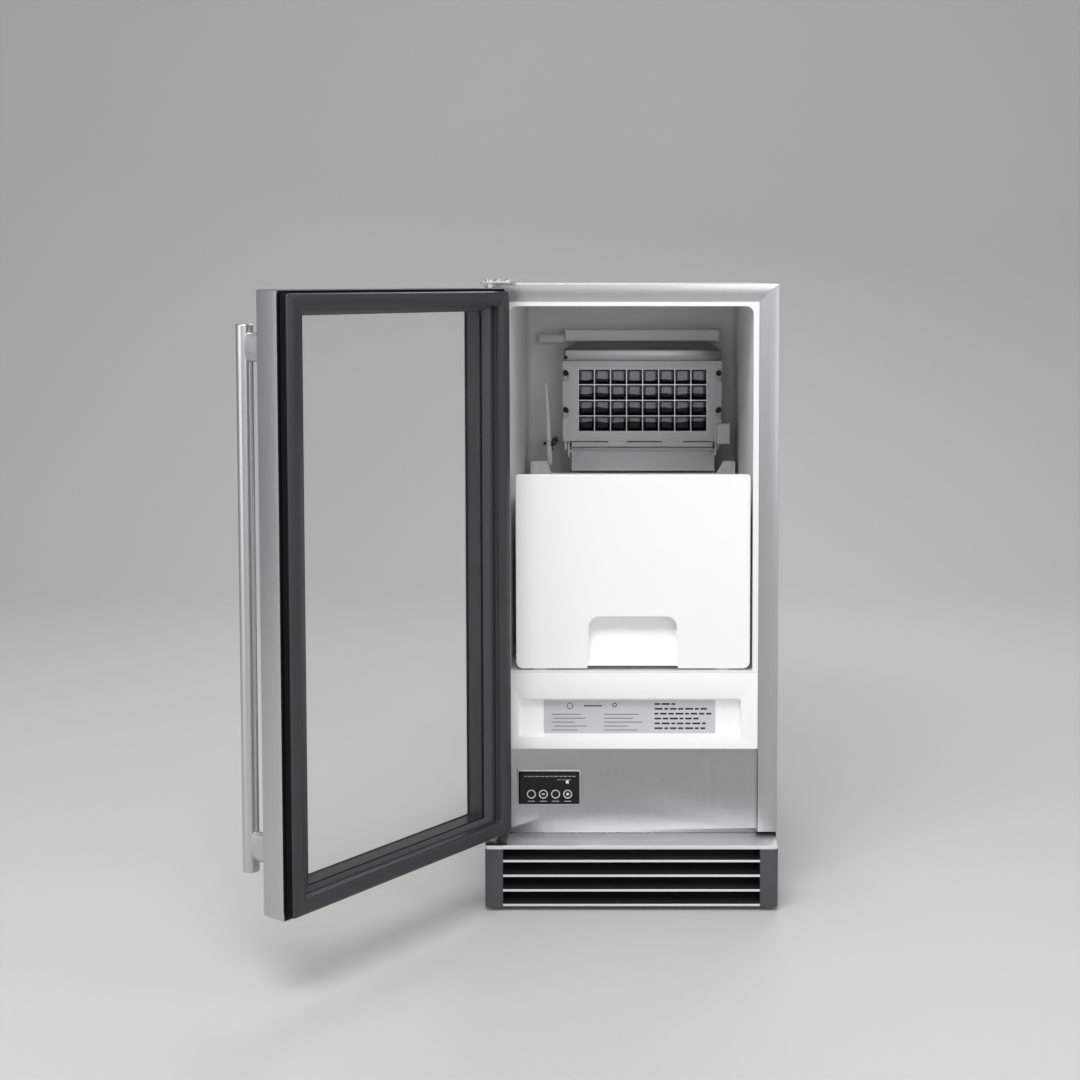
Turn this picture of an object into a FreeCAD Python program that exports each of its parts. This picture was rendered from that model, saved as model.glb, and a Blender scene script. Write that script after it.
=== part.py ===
"""Under-counter ice maker, 15 inch class, with a see-through side-hinged door standing open.

Frame: origin on the floor under the middle of the cabinet. +X to the right, +Y to the rear, +Z up.
Internally every piece is drawn with Y = 0 on the cabinet's front face and moved back by DEPTH / 2
when it is written. The door group is drawn shut and turned about its hinge to the open position.
All lengths are in millimetres.
"""

import FreeCAD, Part
import math
import os

V = FreeCAD.Vector

# ---------------------------------------------------------------- driving dimensions
WIDTH = 378.0            # cabinet and door width
HEIGHT = 798.5           # floor to cabinet top
DEPTH = 530.0            # cabinet front face to rear face
SHEET = 1.2              # outer sheet metal
BASE_Z = 14.0            # underside of the base pan

TRIM_SIDE = 25.2         # width of the front trim strips
TRIM_TOP = 22.5
TRIM_BOTTOM_Z = 87.0

CAVITY_X = 156.4         # half width of the food compartment
CAVITY_Z0 = 299.0
CAVITY_Z1 = 770.0
CAVITY_Y = 385.0
LINER = 2.0

DOOR_Z0 = 96.0
DOOR_Z1 = 793.6
DOOR_FACE_Y = -46.6      # outer face of the shut door
SHELL_DEPTH = 33.5
GASKET_Y = -0.35         # gasket face of the shut door
PIVOT_X = -178.0
PIVOT_Y = -29.0
DOOR_OPEN_DEG = 126.5
PIN_R = 4.0

HANDLE_X = 162.0
HANDLE_Y = -96.6
HANDLE_R = 9.6
HANDLE_Z0 = 129.0
HANDLE_Z1 = 754.5
POST_Z = (160.5, 729.0)

BIN_X0, BIN_X1 = -149.3, 153.4
BIN_Z0, BIN_Z1 = 301.0, 553.5
BIN_Y0, BIN_Y1 = 3.0, 318.0

PLINTH_Y = -48.0
PLINTH_X = 186.8
STILE = 23.1
LEDGE_Z = 81.6

GRID_X0, GRID_Z0 = -78.0, 580.4
PITCH_X, PITCH_Z = 23.6, 23.0
COLS, ROWS = 8, 4
EVAP_Y = 318.0           # front of the evaporator surround
FLAP_Y, FLAP_Z = 325.0, 558.0   # pin of the hanging ice flap

BUTTON_X = (-130.6, -114.9, -99.0, -83.2)
BUTTON_Z = 133.9
BUTTON_R = 6.4
BUTTON_TRAVEL = 1.2

FOOT_X, FOOT_Y = 160.0, (40.0, 488.0)
FOOT_TRAVEL = 12.0

os.makedirs("parts", exist_ok=True)
NODES = []


# ---------------------------------------------------------------- helpers
def box(x0, x1, y0, y1, z0, z1):
    return Part.makeBox(x1 - x0, y1 - y0, z1 - z0, V(x0, y0, z0))


def cyl(r, p, d, h):
    return Part.makeCylinder(r, h, V(*p), V(*d))


def prism_xz(points, y0, y1):
    """Polygon in the XZ plane pushed along Y."""
    w = Part.makePolygon([V(x, y0, z) for x, z in points] + [V(points[0][0], y0, points[0][1])])
    return Part.Face(w).extrude(V(0, y1 - y0, 0))


def prism_yz(points, x0, x1):
    """Polygon in the YZ plane pushed along X."""
    w = Part.makePolygon([V(x0, y, z) for y, z in points] + [V(x0, points[0][0], points[0][1])])
    return Part.Face(w).extrude(V(x1 - x0, 0, 0))


def prism_xy(points, z0, z1):
    w = Part.makePolygon([V(x, y, z0) for x, y in points] + [V(points[0][0], points[0][1], z0)])
    return Part.Face(w).extrude(V(0, 0, z1 - z0))


def fillet(shape, r, test):
    edges = [e for e in shape.Edges if test(e)]
    return shape.makeFillet(r, edges) if edges else shape


def along(e, axis):
    if len(e.Vertexes) != 2:
        return False
    d = e.Vertexes[1].Point - e.Vertexes[0].Point
    if d.Length < 1e-6:
        return False
    d.normalize()
    return abs(abs(getattr(d, axis)) - 1) < 1e-6


def mid(e):
    return e.valueAt((e.FirstParameter + e.LastParameter) / 2)


def fuse(shapes):
    s = shapes[0]
    if len(shapes) > 1:
        s = s.multiFuse(shapes[1:])
    return s.removeSplitter()


def group(shapes):
    return Part.makeCompound(shapes)


def tube_path(points, r, bend):
    """Round rod along straight runs joined by arcs that meet them smoothly."""
    pts = [V(*p) for p in points]
    edges = []
    last = pts[0]
    for i in range(1, len(pts) - 1):
        a = (pts[i - 1] - pts[i]).normalize()
        b = (pts[i + 1] - pts[i]).normalize()
        ang = a.getAngle(b)
        t = bend / math.tan(ang / 2)
        p0, p1 = pts[i] + a * t, pts[i] + b * t
        bis = (a + b).normalize()
        c = pts[i] + bis * (bend / math.sin(ang / 2))
        m = c - bis * bend
        if (p0 - last).Length > 1e-4:
            edges.append(Part.LineSegment(last, p0).toShape())
        edges.append(Part.Arc(p0, m, p1).toShape())
        last = p1
    edges.append(Part.LineSegment(last, pts[-1]).toShape())
    path = Part.Wire(edges)
    d = (pts[1] - pts[0]).normalize()
    prof = Part.Wire([Part.makeCircle(r, pts[0], d)])
    s = path.makePipeShell([prof], True, False)
    return s if s.isValid() else Part.Solid(s)


def screw(p, d, r=2.0, length=10.0, head_r=4.0, head_h=2.4):
    """Pan-head screw: p is where the head meets the surface, d points into the material."""
    d = V(*d).normalize()
    p = V(*p)
    shank = Part.makeCylinder(r, length, p, d)
    head = Part.makeCylinder(head_r, head_h, p - d * head_h, d)
    outer = [e for e in head.Edges if (mid(e) - (p - d * head_h)).dot(d) < 1e-6 and e.Curve.TypeId == "Part::GeomCircle"]
    head = head.makeFillet(head_h * 0.5, outer)
    slot_axis = V(0, 0, 1) if abs(d.z) < 0.5 else V(1, 0, 0)
    side = slot_axis.cross(d).normalize()
    c = p - d * head_h
    for u, w in ((slot_axis, side), (side, slot_axis)):
        q = c - u * (head_r * 0.6) - w * 0.45
        bar = Part.makePolygon([q, q + u * head_r * 1.2, q + u * head_r * 1.2 + w * 0.9, q + w * 0.9, q])
        head = head.cut(Part.Face(bar).extrude(d * 1.2))
    return shank.fuse(head).removeSplitter()


def turn_open(shape):
    s = shape.copy()
    s.rotate(V(PIVOT_X, PIVOT_Y, 0), V(0, 0, 1), -DOOR_OPEN_DEG)
    return s


def save(name, shape, door=False):
    s = turn_open(shape) if door else shape.copy()
    s.translate(V(0, -DEPTH / 2, 0))
    if not s.isValid():
        print("invalid", name)
    s.exportStep(os.path.join("parts", name + ".step"))
    NODES.append((name, len(s.Solids), round(s.Volume / 1000.0, 2)))


HW = WIDTH / 2

# ---------------------------------------------------------------- outer wrap
for side, name in ((-1, "side_panel_left"), (1, "side_panel_right")):
    p = box(HW - SHEET, HW, 1.5, DEPTH - SHEET, BASE_Z, HEIGHT - SHEET)
    if side < 0:
        p = p.mirror(V(0, 0, 0), V(1, 0, 0))
    save(name, p)

top = box(-HW, HW, 1.5, DEPTH - SHEET, HEIGHT - SHEET, HEIGHT)
for x in (-184.0, -171.5, -159.0):
    top = top.cut(cyl(2.1, (x, 15.0, HEIGHT - 5), (0, 0, 1), 10))
save("top_panel", top)

rear = box(-HW, HW, DEPTH - SHEET, DEPTH, BASE_Z, HEIGHT)
INLET_X, INLET_Z, INLET_R = 110.0, 205.0, 13.3   # 3/4 inch hose thread, outside radius
DRAIN_X, DRAIN_Z = 110.0, 46.0
POWER_X, POWER_Z = -120.0, 120.0
rear = rear.cut(cyl(13.8, (INLET_X, DEPTH - 5, INLET_Z), (0, 1, 0), 10))
rear = rear.cut(cyl(9.7, (DRAIN_X, DEPTH - 5, DRAIN_Z), (0, 1, 0), 10))
rear = rear.cut(box(POWER_X - 14, POWER_X + 14, DEPTH - 5, DEPTH + 5, POWER_Z - 12, POWER_Z + 12))
for i in range(9):
    z = 90.0 + i * 14.0
    rear = rear.cut(box(-60, 60, DEPTH - 5, DEPTH + 5, z, z + 5))
save("rear_panel", rear)

base = box(-HW + SHEET, HW - SHEET, 1.5, DEPTH - SHEET, BASE_Z, BASE_Z + 2.0)
for sx in (-1, 1):
    for y in FOOT_Y:
        base = base.cut(cyl(5.05, (sx * FOOT_X, y, 0), (0, 0, 1), 40))
save("base_pan", base)

# levelling feet: a pad on the floor and a stud through the base pan
for sx, nx in ((-1, "left"), (1, "right")):
    for y, ny in zip(FOOT_Y, ("front", "rear")):
        pad = Part.makeCone(17.0, 13.5, 4.0, V(sx * FOOT_X, y, 4.0))
        pad = pad.fuse(cyl(17.0, (sx * FOOT_X, y, 0), (0, 0, 1), 4.0))
        pad = pad.fuse(cyl(5.0, (sx * FOOT_X, y, 7.0), (0, 0, 1), 35.0))
        save("levelling_foot_%s_%s" % (ny, nx), pad.removeSplitter())

# ---------------------------------------------------------------- front trim, mitred
xi, zi = HW - TRIM_SIDE, HEIGHT - TRIM_TOP
t_top = prism_xz([(-HW, HEIGHT), (HW, HEIGHT), (xi, zi), (-xi, zi)], 0, 1.5)
lip = box(-xi, xi, 1.5, 8.0, zi, zi + 1.0)
strips = [t_top.fuse(lip).removeSplitter()]
for s in (-1, 1):
    poly = [(s * HW, HEIGHT), (s * HW, TRIM_BOTTOM_Z), (s * xi, TRIM_BOTTOM_Z), (s * xi, zi)]
    t = prism_xz(poly, 0, 1.5)
    fold = box(min(s * xi, s * (HW - 1.5)), max(s * xi, s * (HW - 1.5)), 0, 12.0, TRIM_BOTTOM_Z, TRIM_BOTTOM_Z + 1.2)
    strips.append(t.fuse(fold).removeSplitter())
save("front_trim", group(strips))

# ---------------------------------------------------------------- liner and foam
cav = box(-CAVITY_X, CAVITY_X, -5, CAVITY_Y, CAVITY_Z0, CAVITY_Z1)
cav = fillet(cav, 10.0, lambda e: along(e, "y") and mid(e).z > CAVITY_Z1 - 1)
cav = fillet(cav, 9.0, lambda e: mid(e).y > CAVITY_Y - 0.5 and mid(e).z > CAVITY_Z0 + 1)
# moulded step across the back wall, above the evaporator
step = box(-99.0, 131.0, 352.0, CAVITY_Y + 5.0, 711.3, 729.5)
step = fillet(step, 3.0, lambda e: mid(e).y < 353)
cav = cav.cut(step)
out = box(-CAVITY_X - LINER, CAVITY_X + LINER, 1.0, CAVITY_Y + LINER, CAVITY_Z0 - LINER, CAVITY_Z1 + LINER)
rim = box(-163.6, 163.6, 0.3, 3.3, CAVITY_Z0 - LINER, zi - 0.2)
liner = out.fuse(rim).cut(cav).cut(box(-97.0, 129.0, 354.0, CAVITY_Y + LINER + 1, 713.3, 727.5))
# moulded slide ribs under the bin
for x in (-118.0, 118.0):
    liner = liner.fuse(box(x - 8, x + 8, 8, 340, CAVITY_Z0 - 0.5, BIN_Z0 - 0.35))
save("liner", liner.removeSplitter())

FI, FO = CAVITY_X + LINER + 0.05, HW - SHEET - 0.05
FB = 432.0
foam = [
    box(-FO, -FI, 3.4, FB, 262, HEIGHT - SHEET - 0.1),
    box(FI, FO, 3.4, FB, 262, HEIGHT - SHEET - 0.1),
    box(-FI + 0.05, FI - 0.05, 3.4, FB, CAVITY_Z1 + LINER + 0.05, HEIGHT - SHEET - 0.1),
    box(-FI + 0.05, FI - 0.05, CAVITY_Y + LINER + 0.05, FB, 262, CAVITY_Z1 + LINER),
    box(-FI + 0.05, FI - 0.05, 16, CAVITY_Y + LINER, 262, CAVITY_Z0 - LINER - 0.05),
]
foam[3] = foam[3].cut(cyl(9.0, (-60, 380, 640), (0, 1, 0), 60)).cut(cyl(8.0, (-120, 380, 713), (0, 1, 0), 60))
for i in (0, 1, 2):
    foam[i] = foam[i].cut(box(-xi - 0.1, xi + 0.1, 0, 8.1, zi - 0.1, zi + 1.1))
    foam[i] = foam[i].cut(box(-163.7, 163.7, 0, 15.1, 250, CAVITY_Z0 - LINER))
    for x in (-184.0, -171.5, -159.0):
        foam[i] = foam[i].cut(cyl(2.2, (x, 15.0, HEIGHT - 12), (0, 0, 1), 20))
foam.append(box(-96.9, 128.9, 354.1, CAVITY_Y + LINER, 713.4, 727.4))
save("foam_insulation", group(foam))

# ---------------------------------------------------------------- fascia under the bin
fas = box(-163.6, 163.6, 0.6, 15.0, 196.0, CAVITY_Z0 - LINER - 0.3)
rec = box(-146.0, 141.6, -1, 10.5, 212.6, 262.0)
rec = fillet(rec, 4.0, lambda e: along(e, "y"))
fas = fas.cut(rec)
fas = fillet(fas, 1.2, lambda e: along(e, "x") and mid(e).y < 0.7 and mid(e).z < 197)
save("fascia", fas)
save("rating_plate", fillet(box(-114.0, 109.0, 9.9, 10.5, 214.5, 258.0), 1.0, lambda e: along(e, "y")))

# ---------------------------------------------------------------- steel service panel and controls
PANEL_Y = 13.0
sp = box(-163.4, 163.4, PANEL_Y, PANEL_Y + 1.2, LEDGE_Z + 0.2, 195.7)
for s in (-1, 1):
    sp = sp.fuse(box(min(s * 163.4, s * 162.2), max(s * 163.4, s * 162.2), 1.7, PANEL_Y, TRIM_BOTTOM_Z + 1.4, 195.7))
sp = sp.removeSplitter()
CB = (-148.0, -67.0, 119.7, 164.6)
sp = sp.cut(box(CB[0] + 3, CB[1] - 3, 5, 20, CB[2] + 3, CB[3] - 3))
save("service_panel", sp)

bez = box(CB[0], CB[1], PANEL_Y - 2.4, PANEL_Y, CB[2], CB[3])
bez = fillet(bez, 1.5, lambda e: along(e, "y"))
bez = bez.fuse(box(CB[0] + 3.2, CB[1] - 3.2, PANEL_Y - 0.2, PANEL_Y + 4.0, CB[2] + 3.2, CB[3] - 3.2))
for x in BUTTON_X:
    bez = bez.cut(cyl(BUTTON_R + 0.35, (x, 0, BUTTON_Z), (0, 1, 0), 30))
bez = bez.cut(box(-83.7 - 2.7, -83.7 + 2.7, 0, 30, 149.7 - 2.7, 149.7 + 2.7))
save("control_bezel", bez.removeSplitter())
save("indicator_lens", box(-83.7 - 2.6, -83.7 + 2.6, PANEL_Y - 2.6, PANEL_Y + 4.0, 149.7 - 2.6, 149.7 + 2.6))

board = box(-145.0, -70.0, PANEL_Y + 12.0, PANEL_Y + 13.6, 122.0, 162.0)
for x in BUTTON_X:
    board = board.fuse(box(x - 3, x + 3, PANEL_Y + 9.6, PANEL_Y + 12.0, BUTTON_Z - 3, BUTTON_Z + 3))
for x, z in ((-142, 125), (-142, 159), (-73, 125), (-73, 159)):
    board = board.fuse(cyl(1.8, (x, PANEL_Y + 4.0, z), (0, 1, 0), 8.0))
save("control_board", board.removeSplitter())

for i, (x, n) in enumerate(zip(BUTTON_X, ("button_power", "button_light", "button_clean", "button_mode"))):
    b = cyl(BUTTON_R, (x, PANEL_Y - 3.2, BUTTON_Z), (0, 1, 0), 6.4)
    b = fillet(b, 0.5, lambda e: e.Curve.TypeId == "Part::GeomCircle" and mid(e).y < PANEL_Y - 3)
    b = b.fuse(cyl(1.8, (x, PANEL_Y + 3.0, BUTTON_Z), (0, 1, 0), 9.6 - 3.0 - BUTTON_TRAVEL - 0.1))
    save(n, b.removeSplitter())

# ---------------------------------------------------------------- kick grille
stiles = []
for s in (-1, 1):
    a, b = PLINTH_X - STILE, PLINTH_X
    st = box(a, b, PLINTH_Y, -0.2, 5.0, LEDGE_Z - 1.3)
    st = fillet(st, 6.0, lambda e: along(e, "z") and abs(mid(e).x - b) < 0.1 and mid(e).y < -40)
    if s < 0:
        st = st.mirror(V(0, 0, 0), V(1, 0, 0))
    stiles.append(st)
save("plinth_stiles", group(stiles))

ledge = box(-PLINTH_X, PLINTH_X, PLINTH_Y, 12.8, LEDGE_Z - 1.2, LEDGE_Z)
# the front edge is turned up into a low lip
ledge = ledge.fuse(box(-PLINTH_X, PLINTH_X, PLINTH_Y, PLINTH_Y + 1.8, LEDGE_Z - 1.2, LEDGE_Z + 3.6))
blank = fillet(box(-PLINTH_X, PLINTH_X, PLINTH_Y, 12.8, LEDGE_Z - 4, LEDGE_Z + 6), 6.0, lambda e: along(e, "z") and mid(e).y < -46)
ledge = ledge.removeSplitter().common(blank)
save("plinth_ledge", ledge)

louvres = []
for z in (65.0, 46.0, 27.0, 8.0):
    xl = PLINTH_X - STILE - 0.05
    lipb = box(-xl, xl, PLINTH_Y + 0.4, PLINTH_Y + 2.2, z - 1.5, z + 1.5)
    blade = prism_yz([(PLINTH_Y + 1.0, z - 1.4), (PLINTH_Y + 1.0, z + 0.2), (PLINTH_Y + 33, z + 12.6), (PLINTH_Y + 33, z + 11.2)], -xl, xl)
    louvres.append(lipb.fuse(blade).removeSplitter())
save("grille_louvres", group(louvres))

# ---------------------------------------------------------------- hinges (cabinet side)
HTOP = HEIGHT
pl = box(-HW, -149.0, -44.0, 26.0, HTOP, HTOP + 3.0)
pl = fillet(pl, 5.0, lambda e: along(e, "z"))
pl = pl.cut(cyl(PIN_R + 0.02, (PIVOT_X, PIVOT_Y, HTOP - 1), (0, 0, 1), 10))
for x in (-184.0, -171.5, -159.0):
    pl = pl.cut(cyl(2.1, (x, 15.0, HTOP - 1), (0, 0, 1), 10))
save("hinge_plate_top", pl)
HB0 = LEDGE_Z + 0.1
pb = box(-PLINTH_X, -160.0, -42.0, -0.3, HB0, HB0 + 4.0)
pb = fillet(pb, 5.0, lambda e: along(e, "z") and mid(e).y < -30)
pb = pb.cut(cyl(PIN_R + 0.02, (PIVOT_X, PIVOT_Y, HB0 - 1), (0, 0, 1), 10))
save("hinge_bracket_bottom", pb)

BUSH_R, BUSH_L = 7.0, 16.0
pin_t = cyl(PIN_R, (PIVOT_X, PIVOT_Y, DOOR_Z1 - 14), (0, 0, 1), HTOP + 3.0 - DOOR_Z1 + 14)
pin_t = pin_t.fuse(cyl(6.5, (PIVOT_X, PIVOT_Y, HTOP + 3.0), (0, 0, 1), 2.5))
pin_b = cyl(PIN_R, (PIVOT_X, PIVOT_Y, HB0), (0, 0, 1), DOOR_Z0 + 14 - HB0)
pin_b = pin_b.fuse(cyl(6.5, (PIVOT_X, PIVOT_Y, HB0 + 4.05), (0, 0, 1), DOOR_Z0 - 0.6 - HB0 - 4.05))
save("hinge_pins", group([pin_t.removeSplitter(), pin_b.removeSplitter()]))
HINGE_SCREWS = [screw((x, 15.0, HTOP + 3.0), (0, 0, -1)) for x in (-184.0, -171.5, -159.0)]

# ---------------------------------------------------------------- door (drawn shut)
WIN_X, WIN_Z0, WIN_Z1 = 148.0, DOOR_Z0 + 29.0, DOOR_Z1 - 29.0
YS = DOOR_FACE_Y
shell = box(-HW, HW, YS, YS + SHELL_DEPTH, DOOR_Z0, DOOR_Z1)
shell = fillet(shell, 2.5, lambda e: mid(e).y < YS + 0.1 or (along(e, "y")))
shell = shell.cut(box(-HW + 1.2, HW - 1.2, YS + 1.2, 10, DOOR_Z0 + 1.2, DOOR_Z1 - 1.2))
window = box(-WIN_X, WIN_X, YS - 5, 20, WIN_Z0, WIN_Z1)
shell = shell.cut(window)
for zc in (DOOR_Z0, DOOR_Z1):
    shell = shell.cut(cyl(BUSH_R + 0.02, (PIVOT_X, PIVOT_Y, zc - 20), (0, 0, 1), 40))
for z in POST_Z:
    shell = shell.cut(cyl(2.6, (HANDLE_X, YS - 5, z), (0, 1, 0), 20))
save("door_shell", shell, True)

CORE_Y0, CORE_Y1 = YS + 1.25, YS + SHELL_DEPTH
core = box(-HW + 1.3, HW - 1.3, CORE_Y0, CORE_Y1, DOOR_Z0 + 1.3, DOOR_Z1 - 1.3)
core = core.cut(box(-WIN_X, WIN_X, CORE_Y0 - 5, 20, WIN_Z0, WIN_Z1))
# rebate that carries the double glazing
GLZ = 7.0
core = core.cut(box(-WIN_X - GLZ, WIN_X + GLZ, CORE_Y0 - 5, CORE_Y1 - 4.0, WIN_Z0 - GLZ, WIN_Z1 + GLZ))
for zc in (DOOR_Z0, DOOR_Z1 - BUSH_L):
    core = core.cut(cyl(BUSH_R + 0.02, (PIVOT_X, PIVOT_Y, zc - 0.5), (0, 0, 1), BUSH_L + 1.0))
for z in POST_Z:
    core = core.cut(cyl(2.6, (HANDLE_X, YS, z), (0, 1, 0), 25))
# gasket channel
ch = box(-HW + 10, HW - 10, CORE_Y1 - 3.0, CORE_Y1 + 5, DOOR_Z0 + 10, DOOR_Z1 - 10).cut(
    box(-HW + 17, HW - 17, CORE_Y1 - 4, CORE_Y1 + 6, DOOR_Z0 + 17, DOOR_Z1 - 17))
core = core.cut(ch)
save("door_inner_frame", core, True)

GX = HW - 4.0
g = box(-GX, GX, CORE_Y1 + 0.02, GASKET_Y, DOOR_Z0 + 4.0, DOOR_Z1 - 4.0)
# the outer edge is cut back, so that the hinge side clears the cabinet's face as it swings past
g = g.makeChamfer(3.6, [e for e in g.Edges if mid(e).y > GASKET_Y - 0.01])
gin = box(-GX + 21, GX - 21, -30, 10, DOOR_Z0 + 4.0 + 19, DOOR_Z1 - 4.0 - 19)
g = g.cut(gin)
foot = box(-HW + 10.1, HW - 10.1, CORE_Y1 - 2.9, CORE_Y1 + 0.5, DOOR_Z0 + 10.1, DOOR_Z1 - 10.1).cut(
    box(-HW + 16.9, HW - 16.9, CORE_Y1 - 4, CORE_Y1 + 6, DOOR_Z0 + 16.9, DOOR_Z1 - 16.9))
g = g.fuse(foot).removeSplitter()
save("gasket", g, True)

gx, gz0, gz1 = WIN_X + GLZ - 0.1, WIN_Z0 - GLZ + 0.1, WIN_Z1 + GLZ - 0.1
save("glass_outer", box(-gx, gx, CORE_Y0 + 0.05, CORE_Y0 + 4.05, gz0, gz1), True)
save("glass_inner", box(-gx, gx, CORE_Y1 - 8.05, CORE_Y1 - 4.05, gz0, gz1), True)
spc = box(-gx, gx, CORE_Y0 + 4.1, CORE_Y1 - 8.1, gz0, gz1).cut(
    box(-gx + 6.5, gx - 6.5, CORE_Y0, CORE_Y1, gz0 + 6.5, gz1 - 6.5))
save("glass_spacer", spc, True)

bushes = []
for z0 in (DOOR_Z0, DOOR_Z1 - BUSH_L):
    b = cyl(BUSH_R, (PIVOT_X, PIVOT_Y, z0), (0, 0, 1), BUSH_L)
    bushes.append(b.cut(cyl(PIN_R + 0.05, (PIVOT_X, PIVOT_Y, z0 - 1), (0, 0, 1), BUSH_L + 2)))
save("hinge_bushes", group(bushes), True)

bar = cyl(HANDLE_R, (HANDLE_X, HANDLE_Y, HANDLE_Z0), (0, 0, 1), HANDLE_Z1 - HANDLE_Z0)
bar = fillet(bar, 1.2, lambda e: e.Curve.TypeId == "Part::GeomCircle")
save("handle_bar", bar, True)
posts = []
for z in POST_Z:
    p = box(HANDLE_X - 7.5, HANDLE_X + 7.5, HANDLE_Y + 4, YS - 0.05, z - 18, z + 18)
    p = fillet(p, 6.5, lambda e: along(e, "y"))
    p = p.cut(cyl(HANDLE_R + 0.02, (HANDLE_X, HANDLE_Y, z - 40), (0, 0, 1), 80))
    posts.append(p)
save("handle_posts", group(posts), True)

# ---------------------------------------------------------------- ice bin
FRONT_T = 6.0
POCKET = (-62.0, 65.0, 302.5, 378.0, 34.0)
bf = box(BIN_X0, BIN_X1, BIN_Y0, BIN_Y0 + FRONT_T, BIN_Z0, BIN_Z1)
bf = fillet(bf, 9.0, lambda e: along(e, "y") and mid(e).z < BIN_Z0 + 1)
bf = fillet(bf, 4.0, lambda e: along(e, "y") and mid(e).z > BIN_Z1 - 1)
bf = fillet(bf, 1.5, lambda e: mid(e).y < BIN_Y0 + 0.01)
bf = bf.fuse(box(POCKET[0], POCKET[1], BIN_Y0 + FRONT_T, POCKET[4], POCKET[2], POCKET[3])).removeSplitter()
scoop = prism_yz([(BIN_Y0 - 3, 306.0), (BIN_Y0 - 3, 369.5), (30.0, 369.5), (30.0, 358.0), (BIN_Y0 + 2.0, 306.0)], -55.6, 58.7)
scoop = fillet(scoop, 14.0, lambda e: along(e, "y") and mid(e).z > 369)
bf = bf.cut(scoop)
# below the scoop the front is cut up, which leaves a finger gap over the fascia
bf = bf.cut(box(-57.0, 60.0, BIN_Y0 - 1, POCKET[4] + 1, BIN_Z0 - 1, 304.8))
save("ice_bin_front", bf)

tub_o = prism_yz([(BIN_Y0 + FRONT_T, BIN_Z0 + 1.0), (BIN_Y0 + FRONT_T, BIN_Z1 - 2), (BIN_Y1, 537.0), (BIN_Y1, BIN_Z0 + 1.0)], BIN_X0 + 2, BIN_X1 - 2)
tub_o = fillet(tub_o, 8.0, lambda e: along(e, "y") and mid(e).z < BIN_Z0 + 2)
tub_i = box(BIN_X0 + 4.6, BIN_X1 - 4.6, BIN_Y0 + FRONT_T + 2.6, BIN_Y1 - 2.6, BIN_Z0 + 4.0, BIN_Z1 + 20)
tub_i = fillet(tub_i, 8.0, lambda e: along(e, "z"))
tub = tub_o.cut(tub_i)
tub = tub.cut(prism_xz([(-117.6, 519.5), (-126.5, 540), (137.0, 540), (124.9, 519.5)], BIN_Y1 - 12, BIN_Y1 + 5))
# the side walls are cut low between the tall front and the rear ears
low = box(BIN_X0 - 5, BIN_X1 + 5, 26.0, 300.0, 512.0, 580.0)
tub = tub.cut(fillet(low, 9.0, lambda e: along(e, "x") and mid(e).z < 513))
tub = tub.cut(box(POCKET[0] - 0.1, POCKET[1] + 0.1, BIN_Y0, POCKET[4] + 0.1, BIN_Z0, POCKET[3] + 0.1))
save("ice_bin_tub", tub)

# ---------------------------------------------------------------- evaporator group
fx0, fx1, fz0, fz1 = -101.0, 132.5, 558.0, 684.5
wx1, wz1 = GRID_X0 + COLS * PITCH_X, GRID_Z0 + ROWS * PITCH_Z
fr = box(fx0, fx1, EVAP_Y, EVAP_Y + 5.0, fz0 + 8, fz1)
fr = fillet(fr, 3.0, lambda e: along(e, "y"))
fr = fr.fuse(box(fx0 + 13, fx1 - 13, EVAP_Y, EVAP_Y + 5.0, fz0, fz0 + 12))
fr = fr.cut(box(GRID_X0, wx1, EVAP_Y - 5, EVAP_Y + 20, GRID_Z0, wz1))
NOTCH_Z = (666.0, 611.5)
for z in NOTCH_Z:
    for x in (fx0, fx1):
        fr = fr.cut(cyl(9.5, (x, EVAP_Y - 5, z - 3), (0, 1, 0), 20))
for a, b in ((-89.0, -34.6), (-6.6, 44.9), (75.8, 118.0)):
    fr = fr.cut(box(a, b, EVAP_Y - 5, EVAP_Y + 20, 563.6, 566.2))
# mounting skirt behind the face, carrying the screw ears
sk = box(fx0 + 1, fx1 - 1, EVAP_Y + 5.0, CAVITY_Y - 0.2, fz0 + 9, fz1 - 1).cut(
    box(GRID_X0 - 6, wx1 + 6, EVAP_Y, CAVITY_Y + 5, fz0 + 5, fz1 + 5))
sk = sk.cut(box(fx0 + 3, GRID_X0 - 8, EVAP_Y + 12, CAVITY_Y + 5, fz0, fz1 + 5)).cut(
    box(wx1 + 8, fx1 - 3, EVAP_Y + 12, CAVITY_Y + 5, fz0, fz1 + 5))
for z in NOTCH_Z:
    for x in (fx0, fx1):
        sk = sk.cut(cyl(9.5, (x, EVAP_Y - 5, z - 3), (0, 1, 0), 14.0))
fr = fr.fuse(sk)
# lugs that carry the flap pins
for x0, x1 in ((-98.5, -95.5), (126.5, 129.5)):
    lug = box(x0, x1, 320.5, 330.0, FLAP_Z - 5.0, 576.0)
    fr = fr.fuse(lug.cut(cyl(1.85, (x0 - 1, FLAP_Y, FLAP_Z), (1, 0, 0), 6)))
for x in (fx0 + 4.2, fx1 - 4.2):
    for z in NOTCH_Z:
        fr = fr.cut(cyl(2.0, (x, EVAP_Y + 6, z), (0, 1, 0), 15.0))
save("evaporator_frame", fr.removeSplitter())

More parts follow.
